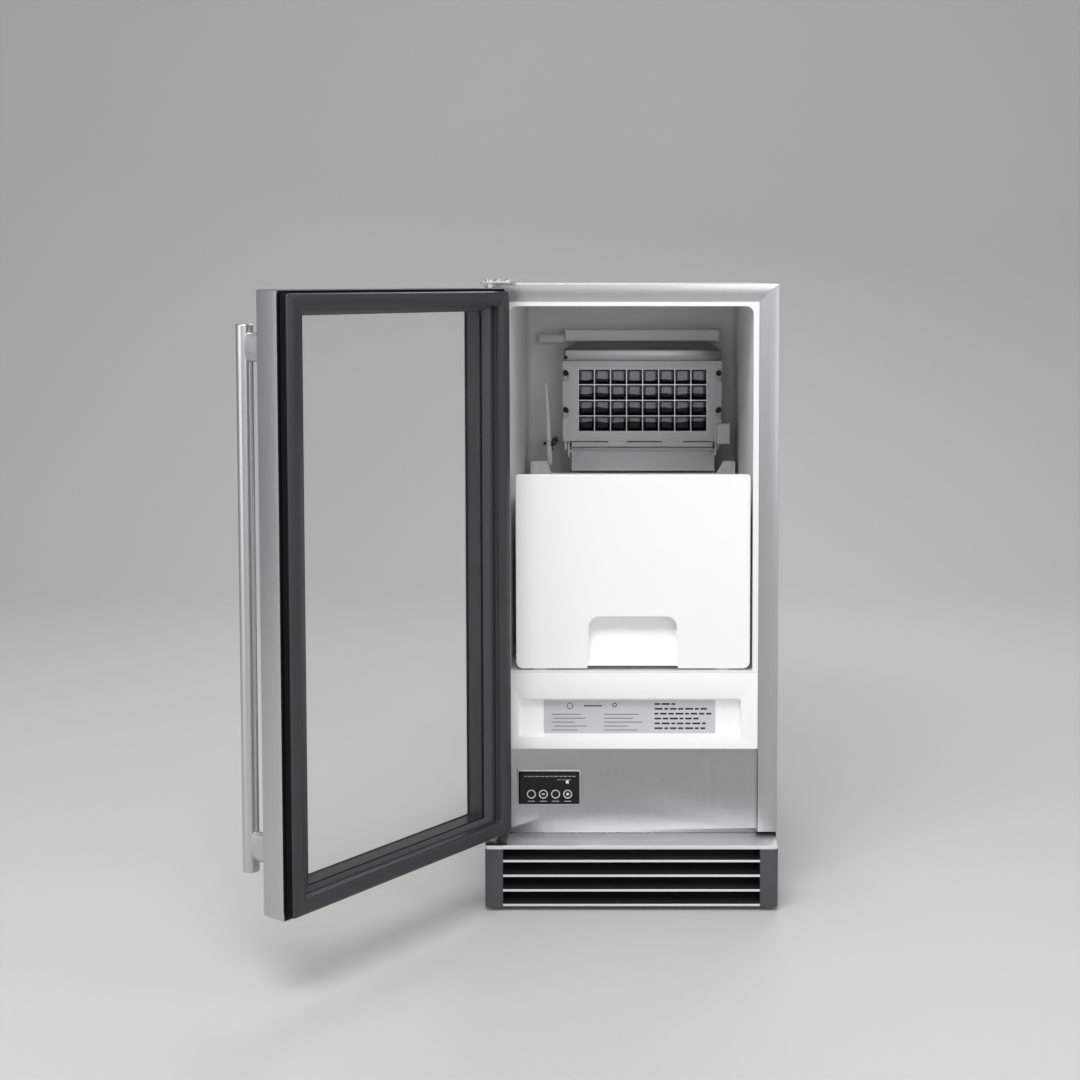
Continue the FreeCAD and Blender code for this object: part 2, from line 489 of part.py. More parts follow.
# cube grid: interlocking nickel strips soldered to a back plate, each strip its own solid
GD0, GD1 = EVAP_Y + 1.0, EVAP_Y + 24.0
t = 1.2
gx0, gx1, gz0, gz1 = GRID_X0 + 0.05, wx1 - 0.05, GRID_Z0 + 0.05, wz1 - 0.05
gr = [box(gx0, gx1, GD1 - 1.2, GD1, gz0, gz1)]
zs = [gz0] + [GRID_Z0 + PITCH_Z * j - t / 2 for j in range(1, ROWS)] + [gz1 - t]
xs = [gx0] + [GRID_X0 + PITCH_X * i - t / 2 for i in range(1, COLS)] + [gx1 - t]
for z in zs:
    gr.append(box(gx0, gx1, GD0, GD1 - 1.2, z, z + t))
for x in xs:
    for j in range(ROWS):
        gr.append(box(x, x + t, GD0, GD1 - 1.2, zs[j] + t, zs[j + 1]))
gr = group(gr)
save("evaporator_grid", gr)

rows = [GRID_Z0 + 11.5 + PITCH_Z * j for j in range(ROWS)]
xa, xb, yt = GRID_X0 + 8, wx1 - 8, GD1 + 4.6
pts = [(xa - 10, yt, rows[0]), (xb, yt, rows[0]), (xb, yt, rows[1]), (xa, yt, rows[1]), (xa, yt, rows[2]),
       (xb, yt, rows[2]), (xb, yt, rows[3]), (xa - 0, yt, rows[3])]
save("evaporator_tube", tube_path(pts, 4.5, 10.0))

dc = prism_yz([(EVAP_Y - 3, 685.0), (EVAP_Y - 3, 700.5), (EVAP_Y + 30, 711.0), (CAVITY_Y - 0.3, 711.0), (CAVITY_Y - 0.3, 685.0)], -99.5, 132.0)
dc = dc.cut(prism_yz([(EVAP_Y, 684.0), (EVAP_Y, 698.3), (EVAP_Y + 31, 708.8), (CAVITY_Y + 5, 708.8), (CAVITY_Y + 5, 684.0)], -96.5, 129.0))
dc = dc.cut(cyl(1.4, (-96.0, EVAP_Y - 4, 689.8), (0, 1, 0), 4.2))
save("distributor_cover", dc)
save("distributor_tube", cyl(7.5, (-137.0, 362.0, 715.0), (1, 0, 0), 37.3).fuse(cyl(7.0, (-128.0, 362.0, 715.0), (0, 1, 0), CAVITY_Y - 362.2)).removeSplitter())

scr = [screw((x, EVAP_Y + 9.0, z), (0, 1, 0), 2.0, 8.0, 4.2, 2.6) for x in (fx0 + 4.2, fx1 - 4.2) for z in NOTCH_Z]
scr.append(screw((-96.0, EVAP_Y - 3.0, 689.8), (0, 1, 0), 1.4, 2.8, 2.6, 1.4))
save("pan_head_screws", group(scr + HINGE_SCREWS))

sb = box(124.9, 144.0, 304.0, EVAP_Y, 563.5, 593.0)
sb = fillet(sb, 1.5, lambda e: mid(e).y < 304.1 or along(e, "y"))
sb = sb.fuse(box(133.2, 141.0, EVAP_Y - 1.0, CAVITY_Y - 0.2, 570, 588)).removeSplitter()
save("bin_switch_box", sb)

sump = prism_yz([(334.0, 557.0), (334.0, 540.0), (341.0, 524.0), (CAVITY_Y - 0.3, 524.0), (CAVITY_Y - 0.3, 557.0)], -92.0, 118.0)
sump = sump.cut(prism_yz([(336.0, 558.0), (336.0, 540.4), (342.4, 526.0), (CAVITY_Y - 2.3, 526.0), (CAVITY_Y - 2.3, 558.0)], -90.0, 116.0))
save("water_sump", sump)

# hanging ice flap: a folded sheet between two side arms, on pins in the surround's lugs
FX0, FX1 = -88.0, 122.0
flap = prism_yz([(321.5, 553.4), (321.5, 555.0), (332.2, 549.9), (318.3, 522.6), (316.7, 522.6), (330.0, 549.4)], FX0, FX1)
for x in (FX0, FX1 - 1.6):
    flap = flap.fuse(prism_yz([(321.5, 554.0), (331.0, 549.5), (317.5, 523.0)], x, x + 1.6))
arm_l = prism_yz([(320.5, 564.0), (328.5, 564.0), (328.5, 552.0), (326.0, 543.0), (319.0, 543.0)], -93.6, -91.2)
arm_r = prism_yz([(303.0, 593.0), (306.5, 593.0), (306.5, 562.0), (328.5, 560.5), (328.5, 552.0), (326.0, 545.0), (303.0, 547.0)], 122.0, 124.3)
flap = flap.fuse(arm_l).fuse(arm_r).fuse(box(-92.0, FX0 + 0.5, 321.6, 326.0, 549.5, 552.8))
flap = flap.fuse(cyl(1.8, (-98.4, FLAP_Y, FLAP_Z), (1, 0, 0), 6.0)).fuse(cyl(1.8, (123.0, FLAP_Y, FLAP_Z), (1, 0, 0), 6.4))
save("ice_flap", flap.removeSplitter())

# bin level lever: a slim blade on a pin through a small block on the left
LVX, LVY, LVZ = -124.0, 322.0, 562.5
outline = [(-126.6, 652.0), (-124.9, 652.0), (-121.6, 620.0), (-119.6, 580.0), (-117.6, 545.0), (-117.2, 531.0),
           (-123.6, 531.0), (-124.6, 560.0), (-125.4, 600.0)]
lev = prism_xz(outline, 321.0, 323.0)
lev = lev.fuse(cyl(4.0, (-124.5, LVY, LVZ), (1, 0, 0), 5.8)).removeSplitter()
lev = lev.cut(cyl(1.65, (-140.0, LVY, LVZ), (1, 0, 0), 40))
save("level_lever", lev)
lp = cyl(1.6, (-127.5, LVY, LVZ), (1, 0, 0), 12.0)
lp = lp.fuse(cyl(2.6, (-129.4, LVY, LVZ), (1, 0, 0), 2.6))
lp = lp.fuse(box(-118.2, -111.6, 319.0, CAVITY_Y - 0.2, 559.4, 566.0)).fuse(box(-116.9, -115.4, 323.0, 328.0, 551.5, 560.0)).removeSplitter()
save("lever_pivot", lp)

# ---------------------------------------------------------------- machine compartment
comp = cyl(62.0, (-80.0, 400.0, 40.0), (0, 0, 1), 130.0)
comp = fillet(comp, 28.0, lambda e: e.Curve.TypeId == "Part::GeomCircle")
cp = box(-150.0, -10.0, 335.0, 465.0, 34.0, 41.0)
cp = fillet(cp, 10.0, lambda e: along(e, "z"))
comp = comp.fuse(cp).fuse(box(-92, -68, 330.0, 345.0, 80.0, 130.0)).removeSplitter()
mpos = [(-140.0, 345.0), (-20.0, 345.0), (-140.0, 455.0), (-20.0, 455.0)]
for x, y in mpos:
    comp = comp.fuse(cyl(8.0, (x, y, BASE_Z + 2.05), (0, 0, 1), 22.0))
save("compressor", comp.removeSplitter())

CX0, CX1, CZ0, CZ1, CY0, CY1 = -150.0, 60.0, 24.0, 180.0, 60.0, 100.0
fins = box(CX0, CX1, CY0, CY1, CZ0, CZ1)
for i in range(20):
    x = CX0 + 6 + i * 10.2
    fins = fins.cut(box(x, x + 8.0, CY0 - 1, CY1 + 1, CZ0 + 6, CZ1 - 6))
for zrow in range(6):
    z = CZ0 + 20 + zrow * 23.0
    fins = fins.fuse(cyl(4.0, (CX0 - 4, 80.0, z), (1, 0, 0), CX1 - CX0 + 8))
fins = fins.fuse(box(CX0, CX1, CY0 + 4, CY1 - 4, BASE_Z + 2.05, CZ0 + 1))
save("condenser", fins.removeSplitter())

FCX, FCY, FCZ = -45.0, 122.0, 102.0
shroud = box(CX0 + 20, CX1 - 20, 100.1, 140.0, 26.0, 178.0)
shroud = shroud.cut(box(CX0 + 22, CX1 - 22, 90.0, 138.0, 28.0, 176.0)).cut(cyl(66.0, (FCX, 90, FCZ), (0, 1, 0), 60))
save("fan_shroud", shroud)
motor = cyl(22.0, (FCX, 146.0, FCZ), (0, 1, 0), 45.0)
motor = motor.fuse(box(FCX - 80, FCX + 80, 152.0, 156.0, FCZ - 8, FCZ + 8)).fuse(box(FCX - 80, FCX - 74, 140.05, 156.0, FCZ - 8, FCZ + 8)).fuse(box(FCX + 74, FCX + 80, 140.05, 156.0, FCZ - 8, FCZ + 8))
motor = motor.fuse(cyl(3.0, (FCX, 118.0, FCZ), (0, 1, 0), 30.0)).removeSplitter()
save("fan_motor", motor)
hub = cyl(16.0, (FCX, 112.0, FCZ), (0, 1, 0), 22.0)
blades = []
for k in range(5):
    b = box(10.0, 60.0, -1.0, 1.0, -16.0, 16.0)
    b = fillet(b, 10.0, lambda e: along(e, "y") and mid(e).x > 50)
    b.rotate(V(0, 0, 0), V(1, 0, 0), 28.0)
    b.rotate(V(0, 0, 0), V(0, 1, 0), 72.0 * k)
    b.translate(V(FCX, 123.0, FCZ))
    blades.append(b)
fan = hub.multiFuse(blades).removeSplitter()
fan = fan.cut(cyl(3.05, (FCX, 90.0, FCZ), (0, 1, 0), 60.0))
save("fan_blade", fan)

lines = tube_path([(-80.0, 462.0, 120.0), (-80.0, 490.0, 120.0), (-80.0, 490.0, 640.0), (-60.0, 490.0, 640.0 + 0.0), (-60.0, 395.0, 640.0)], 4.0, 8.0)
save("refrigerant_line", lines)

pump = cyl(24.0, (90.0, 420.0, 120.0), (0, 0, 1), 60.0)
pump = pump.fuse(cyl(30.0, (90.0, 420.0, 100.0), (0, 0, 1), 20.0)).fuse(cyl(6.0, (90.0, 395.0, 110.0), (0, -1, 0), 30.0))
pump = pump.fuse(box(70.0, 110.0, 400.0, 440.0, BASE_Z + 2.05, 100.0))
save("drain_pump", pump.removeSplitter())

valve = box(92.0, 128.0, 470.0, 500.0, 187.0, 223.0)
valve = valve.fuse(cyl(INLET_R - 1.3, (INLET_X, 499.0, INLET_Z), (0, 1, 0), 34.0))
valve = valve.fuse(cyl(INLET_R, (INLET_X, 531.0, INLET_Z), (0, 1, 0), 18.0)).removeSplitter()
valve = valve.cut(cyl(9.0, (INLET_X, 515.0, INLET_Z), (0, 1, 0), 60.0))
valve = valve.fuse(cyl(11.0, (INLET_X, 485.0, 223.0), (0, 0, 1), 26.0)).removeSplitter()
save("water_inlet_valve", valve)
drain = cyl(8.7, (DRAIN_X, 470.0, DRAIN_Z), (0, 1, 0), 62.0)
drain = drain.fuse(cyl(9.5, (DRAIN_X, 531.0, DRAIN_Z), (0, 1, 0), 23.0))
drain = drain.fuse(cyl(14.0, (DRAIN_X, DEPTH - 6.0, DRAIN_Z), (0, 1, 0), 4.6))
drain = drain.cut(cyl(7.0, (DRAIN_X, 475.0, DRAIN_Z), (0, 1, 0), 100.0))
save("drain_connector", drain.removeSplitter())
pw = box(POWER_X - 13.8, POWER_X + 13.8, DEPTH - 24, DEPTH + 0.2, POWER_Z - 11.8, POWER_Z + 11.8)
pw = pw.fuse(box(POWER_X - 24, POWER_X + 24, DEPTH + 0.05, DEPTH + 2.2, POWER_Z - 15, POWER_Z + 15))
pw = pw.cut(box(POWER_X - 11, POWER_X + 11, DEPTH - 18, DEPTH + 5, POWER_Z - 8, POWER_Z + 8))
for dx in (-6.0, 0.0, 6.0):
    pw = pw.fuse(box(POWER_X + dx - 1, POWER_X + dx + 1, DEPTH - 20, DEPTH - 3, POWER_Z - 3, POWER_Z + 3))
save("mains_inlet", pw.removeSplitter())

print(len(NODES), "nodes")
for n in NODES:
    print(n)
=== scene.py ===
import math

import bmesh
import bpy
from mathutils import Matrix, Vector


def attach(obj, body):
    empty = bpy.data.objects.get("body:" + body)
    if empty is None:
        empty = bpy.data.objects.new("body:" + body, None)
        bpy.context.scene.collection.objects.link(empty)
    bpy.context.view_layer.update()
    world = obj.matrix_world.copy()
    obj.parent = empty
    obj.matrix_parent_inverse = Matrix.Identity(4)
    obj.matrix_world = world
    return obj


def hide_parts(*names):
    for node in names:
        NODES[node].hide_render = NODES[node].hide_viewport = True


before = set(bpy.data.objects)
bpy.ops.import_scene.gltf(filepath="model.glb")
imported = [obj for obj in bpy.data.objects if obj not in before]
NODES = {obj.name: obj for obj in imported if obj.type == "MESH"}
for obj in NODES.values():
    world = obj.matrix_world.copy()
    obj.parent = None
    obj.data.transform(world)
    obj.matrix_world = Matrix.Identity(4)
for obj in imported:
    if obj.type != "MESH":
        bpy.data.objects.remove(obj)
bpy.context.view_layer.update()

SCN = bpy.context.scene

# ------------------------------------------------------------------ frame
# All drawing numbers below are millimetres measured from the cabinet's front face.
Y_SHIFT = -265.0
PIVOT = (-178.0, -29.0)
OPEN = math.radians(126.5)


def P(x, y, z):
    return Vector((x / 1000.0, (y + Y_SHIFT) / 1000.0, z / 1000.0))


def D(x, y, z):
    """A point of the shut door, carried to the open door."""
    u, v = x - PIVOT[0], y - PIVOT[1]
    c, s = math.cos(OPEN), math.sin(OPEN)
    return P(PIVOT[0] + u * c + v * s, PIVOT[1] - u * s + v * c, z)


def make(name, verts, faces, mat=None, smooth=True, angle=35.0):
    me = bpy.data.meshes.new(name)
    me.from_pydata([tuple(v) for v in verts], [], faces)
    bm = bmesh.new()
    bm.from_mesh(me)
    bmesh.ops.remove_doubles(bm, verts=bm.verts, dist=1e-7)
    bmesh.ops.dissolve_degenerate(bm, edges=bm.edges, dist=1e-8)
    bmesh.ops.recalc_face_normals(bm, faces=bm.faces)
    bm.to_mesh(me)
    bm.free()
    o = bpy.data.objects.new(name, me)
    SCN.collection.objects.link(o)
    finish_mesh(o, smooth, angle)
    if mat:
        me.materials.append(mat)
    return o


def finish_mesh(o, smooth=True, angle=35.0):
    me = o.data
    for p in me.polygons:
        p.use_smooth = smooth
    if smooth:
        me.set_sharp_from_angle(angle=math.radians(angle))


def from_bm(name, bm, mat=None, smooth=True, angle=35.0):
    bmesh.ops.recalc_face_normals(bm, faces=bm.faces)
    me = bpy.data.meshes.new(name)
    bm.to_mesh(me)
    bm.free()
    o = bpy.data.objects.new(name, me)
    SCN.collection.objects.link(o)
    finish_mesh(o, smooth, angle)
    if mat:
        me.materials.append(mat)
    return o


def place(o, body, slot, *nodes):
    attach(o, body)
    if nodes:
        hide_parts(*nodes)
    return o


def bevel_bm(bm, width, segments=2, angle=30.0):
    lim = math.radians(angle)
    edges = [e for e in bm.edges if len(e.link_faces) == 2 and e.calc_face_angle(0.0) > lim]
    if edges:
        bmesh.ops.bevel(bm, geom=edges, offset=width / 1000.0, segments=segments, profile=0.5,
                        affect="EDGES", clamp_overlap=True, loop_slide=True)
    bmesh.ops.remove_doubles(bm, verts=bm.verts, dist=1e-7)
    bmesh.ops.dissolve_degenerate(bm, edges=bm.edges, dist=1e-8)


def rbox_bm(x0, x1, y0, y1, z0, z1, width=0.6, segments=2, fn=P):
    bm = bmesh.new()
    vs = [bm.verts.new(fn(x, y, z)) for x in (x0, x1) for y in (y0, y1) for z in (z0, z1)]
    idx = [(0, 1, 3, 2), (4, 6, 7, 5), (0, 4, 5, 1), (2, 3, 7, 6), (0, 2, 6, 4), (1, 5, 7, 3)]
    for f in idx:
        bm.faces.new([vs[i] for i in f])
    bmesh.ops.recalc_face_normals(bm, faces=bm.faces)
    if width > 0:
        bevel_bm(bm, width, segments)
    return bm


def rbox(name, x0, x1, y0, y1, z0, z1, width=0.6, segments=2, fn=P, mat=None):
    return from_bm(name, rbox_bm(x0, x1, y0, y1, z0, z1, width, segments, fn), mat)


def join_bms(bms):
    out = bmesh.new()
    for b in bms:
        me = bpy.data.meshes.new("tmp")
        b.to_mesh(me)
        out.from_mesh(me)
        bpy.data.meshes.remove(me)
        b.free()
    return out


def prism_bm(pts, a, b, axis, width=0.0, segments=2, fn=P):
    """Polygon pushed along an axis. axis x: pts are (y, z); y: (x, z); z: (x, y)."""
    bm = bmesh.new()

    def at(p, t):
        if axis == "x":
            return fn(t, p[0], p[1])
        if axis == "y":
            return fn(p[0], t, p[1])
        return fn(p[0], p[1], t)

    lo = [bm.verts.new(at(p, a)) for p in pts]
    hi = [bm.verts.new(at(p, b)) for p in pts]
    n = len(pts)
    bm.faces.new(lo[::-1])
    bm.faces.new(hi)
    for i in range(n):
        j = (i + 1) % n
        bm.faces.new([lo[i], lo[j], hi[j], hi[i]])
    bmesh.ops.recalc_face_normals(bm, faces=bm.faces)
    if width > 0:
        bevel_bm(bm, width, segments)
    return bm


def prism(name, pts, a, b, axis, width=0.0, segments=2, fn=P, mat=None, angle=35.0):
    return from_bm(name, prism_bm(pts, a, b, axis, width, segments, fn), mat, True, angle)


def lathe_bm(profile, centre, axis, n=48, fn=P, ring_shape=False):
    """profile: (radius, height) pairs from one end to the other, turned about an axis through centre."""
    bm = bmesh.new()
    rings = []
    for r, h in profile:
        ring = []
        if r < 1e-6:
            q = list(centre)
            q["xyz".index(axis)] += h
            ring = [bm.verts.new(fn(*q))]
        else:
            for i in range(n):
                t = 2 * math.pi * i / n
                c, s = r * math.cos(t), r * math.sin(t)
                q = list(centre)
                k = "xyz".index(axis)
                q[k] += h
                q[(k + 1) % 3] += c
                q[(k + 2) % 3] += s
                ring.append(bm.verts.new(fn(*q)))
        rings.append(ring)
    for a, b in zip(rings, rings[1:]):
        if len(a) == 1 and len(b) == 1:
            continue
        if len(a) == 1:
            for i in range(n):
                bm.faces.new([a[0], b[(i + 1) % n], b[i]])
        elif len(b) == 1:
            for i in range(n):
                bm.faces.new([a[i], a[(i + 1) % n], b[0]])
        else:
            for i in range(n):
                j = (i + 1) % n
                bm.faces.new([a[i], a[j], b[j], b[i]])
    if ring_shape:
        a, b = rings[-1], rings[0]
        for i in range(n):
            j = (i + 1) % n
            bm.faces.new([a[i], a[j], b[j], b[i]])
    for ring, rev in ((rings[0], True), (rings[-1], False)):
        if len(ring) > 1 and not ring_shape:
            bm.faces.new(ring[::-1] if rev else ring)
    bmesh.ops.recalc_face_normals(bm, faces=bm.faces)
    return bm


def lathe(name, profile, centre, axis, n=48, fn=P, mat=None, angle=35.0):
    return from_bm(name, lathe_bm(profile, centre, axis, n, fn), mat, True, angle)


def loop(x0, x1, z0, z1, r, n=5):
    """Rounded rectangle, anticlockwise from the lower right corner."""
    pts = []
    for cx, cz, a0 in ((x1 - r, z0 + r, -90), (x1 - r, z1 - r, 0), (x0 + r, z1 - r, 90), (x0 + r, z0 + r, 180)):
        for i in range(n):
            t = math.radians(a0 + 90.0 * i / (n - 1))
            pts.append((cx + r * math.cos(t), cz + r * math.sin(t)))
    return pts


def frame_sweep(name, rect, profile, fn=P, mat=None, closed=True, n=5, angle=30.0, caps=False):
    """A section swept round a rectangle. profile: (inset_x, inset_z, y, corner_radius)."""
    x0, x1, z0, z1 = rect
    verts, faces = [], []
    m = 4 * n
    for ix, iz, y, r in profile:
        for x, z in loop(x0 + ix, x1 - ix, z0 + iz, z1 - iz, max(r, 0.25), n):
            verts.append(fn(x, y, z))
    k = len(profile)
    for a in range(k if closed else k - 1):
        b = (a + 1) % k
        for i in range(m):
            j = (i + 1) % m
            faces.append((a * m + i, a * m + j, b * m + j, b * m + i))
    return make(name, verts, faces, mat, True, angle)


def tube(name, pts, r, mat=None, n=16, smooth_steps=6, fn=P, tip=None):
    """Round tube along a smoothed line of points, with flat closed ends."""
    ps = [fn(*p) for p in pts]
    line = []
    for i in range(len(ps) - 1):
        p0 = ps[i - 1] if i > 0 else ps[i]
        p1, p2 = ps[i], ps[i + 1]
        p3 = ps[i + 2] if i + 2 < len(ps) else ps[i + 1]
        for k in range(smooth_steps):
            t = k / smooth_steps
            line.append(0.5 * ((2 * p1) + (-p0 + p2) * t + (2 * p0 - 5 * p1 + 4 * p2 - p3) * t * t + (-p0 + 3 * p1 - 3 * p2 + p3) * t ** 3))
    line.append(ps[-1])
    verts, faces = [], []
    up = Vector((0, 0, 1))
    t0 = (line[1] - line[0]).normalized()
    side = t0.cross(up)
    if side.length < 0.1:
        side = t0.cross(Vector((1, 0, 0)))
    side.normalize()
    for i, p in enumerate(line):
        t = (line[min(i + 1, len(line) - 1)] - line[max(i - 1, 0)]).normalized()
        side = (side - t * side.dot(t)).normalized()
        o = t.cross(side)
        for k in range(n):
            a = 2 * math.pi * k / n
            verts.append(p + (side * math.cos(a) + o * math.sin(a)) * r / 1000.0)
    for i in range(len(line) - 1):
        for k in range(n):
            j = (k + 1) % n
            faces.append((i * n + k, i * n + j, (i + 1) * n + j, (i + 1) * n + k))
    faces.append(tuple(range(n))[::-1])
    faces.append(tuple((len(line) - 1) * n + k for k in range(n)))
    return make(name, verts, faces, mat, True, 40.0)


def refined_bm(node, width=0.5, segments=2, angle=30.0):
    bm = bmesh.new()
    bm.from_mesh(NODES[node].data)
    bmesh.ops.remove_doubles(bm, verts=bm.verts, dist=2e-6)
    bmesh.ops.dissolve_limit(bm, angle_limit=math.radians(0.6), verts=bm.verts, edges=bm.edges)
    bmesh.ops.recalc_face_normals(bm, faces=bm.faces)
    if width > 0:
        bevel_bm(bm, width, segments, angle)
    return bm


def refined(name, node, body, slot, mat, width=0.5, segments=2, angle=30.0, sharp=35.0):
    o = from_bm(name, refined_bm(node, width, segments, angle), mat, True, sharp)
    return place(o, body, slot, node)


# ------------------------------------------------------------------ materials
def nt(name):
    m = bpy.data.materials.new(name)
    m.use_nodes = True
    t = m.node_tree
    b = t.nodes["Principled BSDF"]
    return m, t, b


def coords(t, scale):
    tc = t.nodes.new("ShaderNodeTexCoord")
    mp = t.nodes.new("ShaderNodeMapping")
    mp.inputs["Scale"].default_value = scale
    t.links.new(tc.outputs["Object"], mp.inputs["Vector"])
    return mp.outputs["Vector"]


def noise(t, vec, scale, detail=2.0, rough=0.5):
    n = t.nodes.new("ShaderNodeTexNoise")
    n.inputs["Scale"].default_value = scale
    n.inputs["Detail"].default_value = detail
    n.inputs["Roughness"].default_value = rough
    t.links.new(vec, n.inputs["Vector"])
    return n.outputs["Fac"]


def ramp(t, fac, lo, hi, p0=0.3, p1=0.7):
    r = t.nodes.new("ShaderNodeMapRange")
    r.inputs["From Min"].default_value = p0
    r.inputs["From Max"].default_value = p1
    r.inputs["To Min"].default_value = lo
    r.inputs["To Max"].default_value = hi
    t.links.new(fac, r.inputs["Value"])
    return r.outputs["Result"]


def colour_mix(t, fac, a, b):
    m = t.nodes.new("ShaderNodeMix")
    m.data_type = "RGBA"
    m.inputs["A"].default_value = (*a, 1)
    m.inputs["B"].default_value = (*b, 1)
    t.links.new(fac, m.inputs["Factor"])
    return m.outputs["Result"]


def bump(t, b, height, strength, distance):
    n = t.nodes.new("ShaderNodeBump")
    n.inputs["Strength"].default_value = strength
    n.inputs["Distance"].default_value = distance
    t.links.new(height, n.inputs["Height"])
    t.links.new(n.outputs["Normal"], b.inputs["Normal"])
    return n


def brushed(name, base, rough, along, tone=0.02, strength=0.1, aniso=0.55):
    """Brushed metal with hairlines along one axis ('x', 'y' or 'z')."""
    m, t, b = nt(name)
    k = "xyz".index(along)
    sc = [3200.0, 3200.0, 3200.0]
    sc[k] = 28.0
    f = noise(t, coords(t, tuple(sc)), 1.0, 2.0, 0.6)
    sc = [260.0, 260.0, 260.0]
    sc[k] = 3.0
    g = noise(t, coords(t, tuple(sc)), 1.0, 3.0, 0.6)
    lo = tuple(max(0.0, c - tone) for c in base)
    hi = tuple(min(1.0, c + tone) for c in base)
    t.links.new(colour_mix(t, ramp(t, g, 0, 1, 0.2, 0.8), lo, hi), b.inputs["Base Color"])
    add = t.nodes.new("ShaderNodeMath")
    add.operation = "ADD"
    t.links.new(ramp(t, f, rough - 0.05, rough + 0.05), add.inputs[0])
    t.links.new(ramp(t, g, -0.01, 0.01), add.inputs[1])
    t.links.new(add.outputs[0], b.inputs["Roughness"])
    b.inputs["Metallic"].default_value = 1.0
    b.inputs["Anisotropic"].default_value = aniso
    tg = t.nodes.new("ShaderNodeTangent")
    tg.direction_type = "RADIAL"
    tg.axis = "Z"
    t.links.new(tg.outputs["Tangent"], b.inputs["Tangent"])
    b.inputs["Anisotropic Rotation"].default_value = 0.25 if along == "z" else 0.0
    bump(t, b, f, strength, 0.00002)
    return m


def moulded(name, base, rough, grain=900.0, strength=0.06, tone=0.012, spec=0.5, coat=0.0, metallic=0.0, scuff=0.0):
    """Moulded plastic, rubber or paint: fine grain, slight tone drift and rubbed patches."""
    m, t, b = nt(name)
    v = coords(t, (1.0, 1.0, 1.0))
    f = noise(t, v, grain, 2.0, 0.5)
    g = noise(t, v, 9.0, 3.0, 0.5)
    lo = tuple(max(0.0, c - tone) for c in base)
    hi = tuple(min(1.0, c + tone) for c in base)
    t.links.new(colour_mix(t, ramp(t, g, 0, 1, 0.1, 0.9), lo, hi), b.inputs["Base Color"])
    t.links.new(ramp(t, g, max(0.02, rough - 0.04 - scuff), rough + 0.04, 0.1, 0.9), b.inputs["Roughness"])
    b.inputs["Specular IOR Level"].default_value = spec
    b.inputs["Metallic"].default_value = metallic
    b.inputs["Coat Weight"].default_value = coat
    if strength > 0:
        bump(t, b, f, strength, 0.00008)
    return m


def glass_mat(name):
    m, t, b = nt(name)
    g = noise(t, coords(t, (1.0, 1.0, 1.0)), 6.0, 3.0, 0.5)
    t.links.new(ramp(t, g, 0.02, 0.06), b.inputs["Roughness"])
    t.links.new(colour_mix(t, ramp(t, g, 0, 1, 0.1, 0.9), (0.20, 0.25, 0.24), (0.24, 0.29, 0.28)), b.inputs["Base Color"])
    b.inputs["Specular IOR Level"].default_value = 0.6
    b.inputs["Alpha"].default_value = 0.03
    return m


def nickel_painted_reflection(name):
    """Plated cells with a painted reflection: each dark at the bottom and paler above, more so in the lower rows."""
    m, t, b = nt(name)
    v = coords(t, (1.0, 1.0, 1.0))
    sep = t.nodes.new("ShaderNodeSeparateXYZ")
    t.links.new(v, sep.inputs[0])

    def calc(op, a_, b_=None):
        n_ = t.nodes.new("ShaderNodeMath")
        n_.operation = op
        for k_, q_ in enumerate((a_, b_)):
            if q_ is None:
                continue
            if isinstance(q_, (int, float)):
                n_.inputs[k_].default_value = q_
            else:
                t.links.new(q_, n_.inputs[k_])
        return n_.outputs[0]

    row = calc("DIVIDE", calc("SUBTRACT", sep.outputs["Z"], 0.5804), 0.023)
    inside = calc("FRACT", row)
    level = calc("ADD", calc("MULTIPLY", row, -0.11), 0.60)
    g = noise(t, coords(t, (1.0, 0.2, 0.25)), 26.0, 1.0, 0.5)
    level = calc("ADD", level, calc("MULTIPLY", calc("SUBTRACT", g, 0.5), 0.5))
    edge = calc("MULTIPLY", calc("SUBTRACT", inside, level), 14.0)
    h = noise(t, v, 700.0, 2.0, 0.5)
    # dark lower part and pale upper part of each cell: painted reflection
    t.links.new(colour_mix(t, ramp(t, edge, 0, 1, 0.0, 1.0), (0.012, 0.012, 0.013), (0.30, 0.305, 0.31)), b.inputs["Base Color"])
    t.links.new(ramp(t, h, 0.24, 0.36), b.inputs["Roughness"])
    b.inputs["Metallic"].default_value = 0.55
    bump(t, b, h, 0.08, 0.0001)
    return m


M = {}
M["steel_v"] = brushed("stainless_vertical", (0.46, 0.46, 0.465), 0.32, "z", tone=0.01)
M["steel_panel"] = brushed("stainless_panel", (0.40, 0.40, 0.405), 0.32, "z", tone=0.01)
M["steel_h"] = brushed("stainless_horizontal", (0.62, 0.62, 0.625), 0.3, "x", tone=0.012)
M["steel_y"] = brushed("stainless_depth", (0.55, 0.55, 0.555), 0.32, "y", tone=0.012, aniso=0.0)
M["steel_door"] = brushed("stainless_door", (0.54, 0.54, 0.545), 0.33, "z", tone=0.012)
M["handle"] = brushed("handle_steel", (0.56, 0.56, 0.565), 0.34, "z", tone=0.015, aniso=0.3)
M["galv"] = moulded("zinc_sheet", (0.55, 0.57, 0.58), 0.38, grain=60.0, strength=0.04, tone=0.05, metallic=1.0)
M["white"] = moulded("white_abs", (0.93, 0.93, 0.925), 0.34, grain=1400.0, strength=0.03, tone=0.004)
# a little darker than the white ABS of the same plastic: painted shade inside the cavity
M["liner"] = moulded("liner_white", (0.86, 0.86, 0.855), 0.36, grain=1200.0, strength=0.03, tone=0.004)
M["label"] = moulded("label_grey", (0.56, 0.565, 0.57), 0.5, grain=1500.0, strength=0.02, tone=0.006)
M["ink"] = moulded("label_ink", (0.02, 0.02, 0.022), 0.55, grain=1500.0, strength=0.02, tone=0.006)
M["ink_light"] = moulded("panel_print", (0.34, 0.35, 0.36), 0.45, grain=1500.0, strength=0.02)
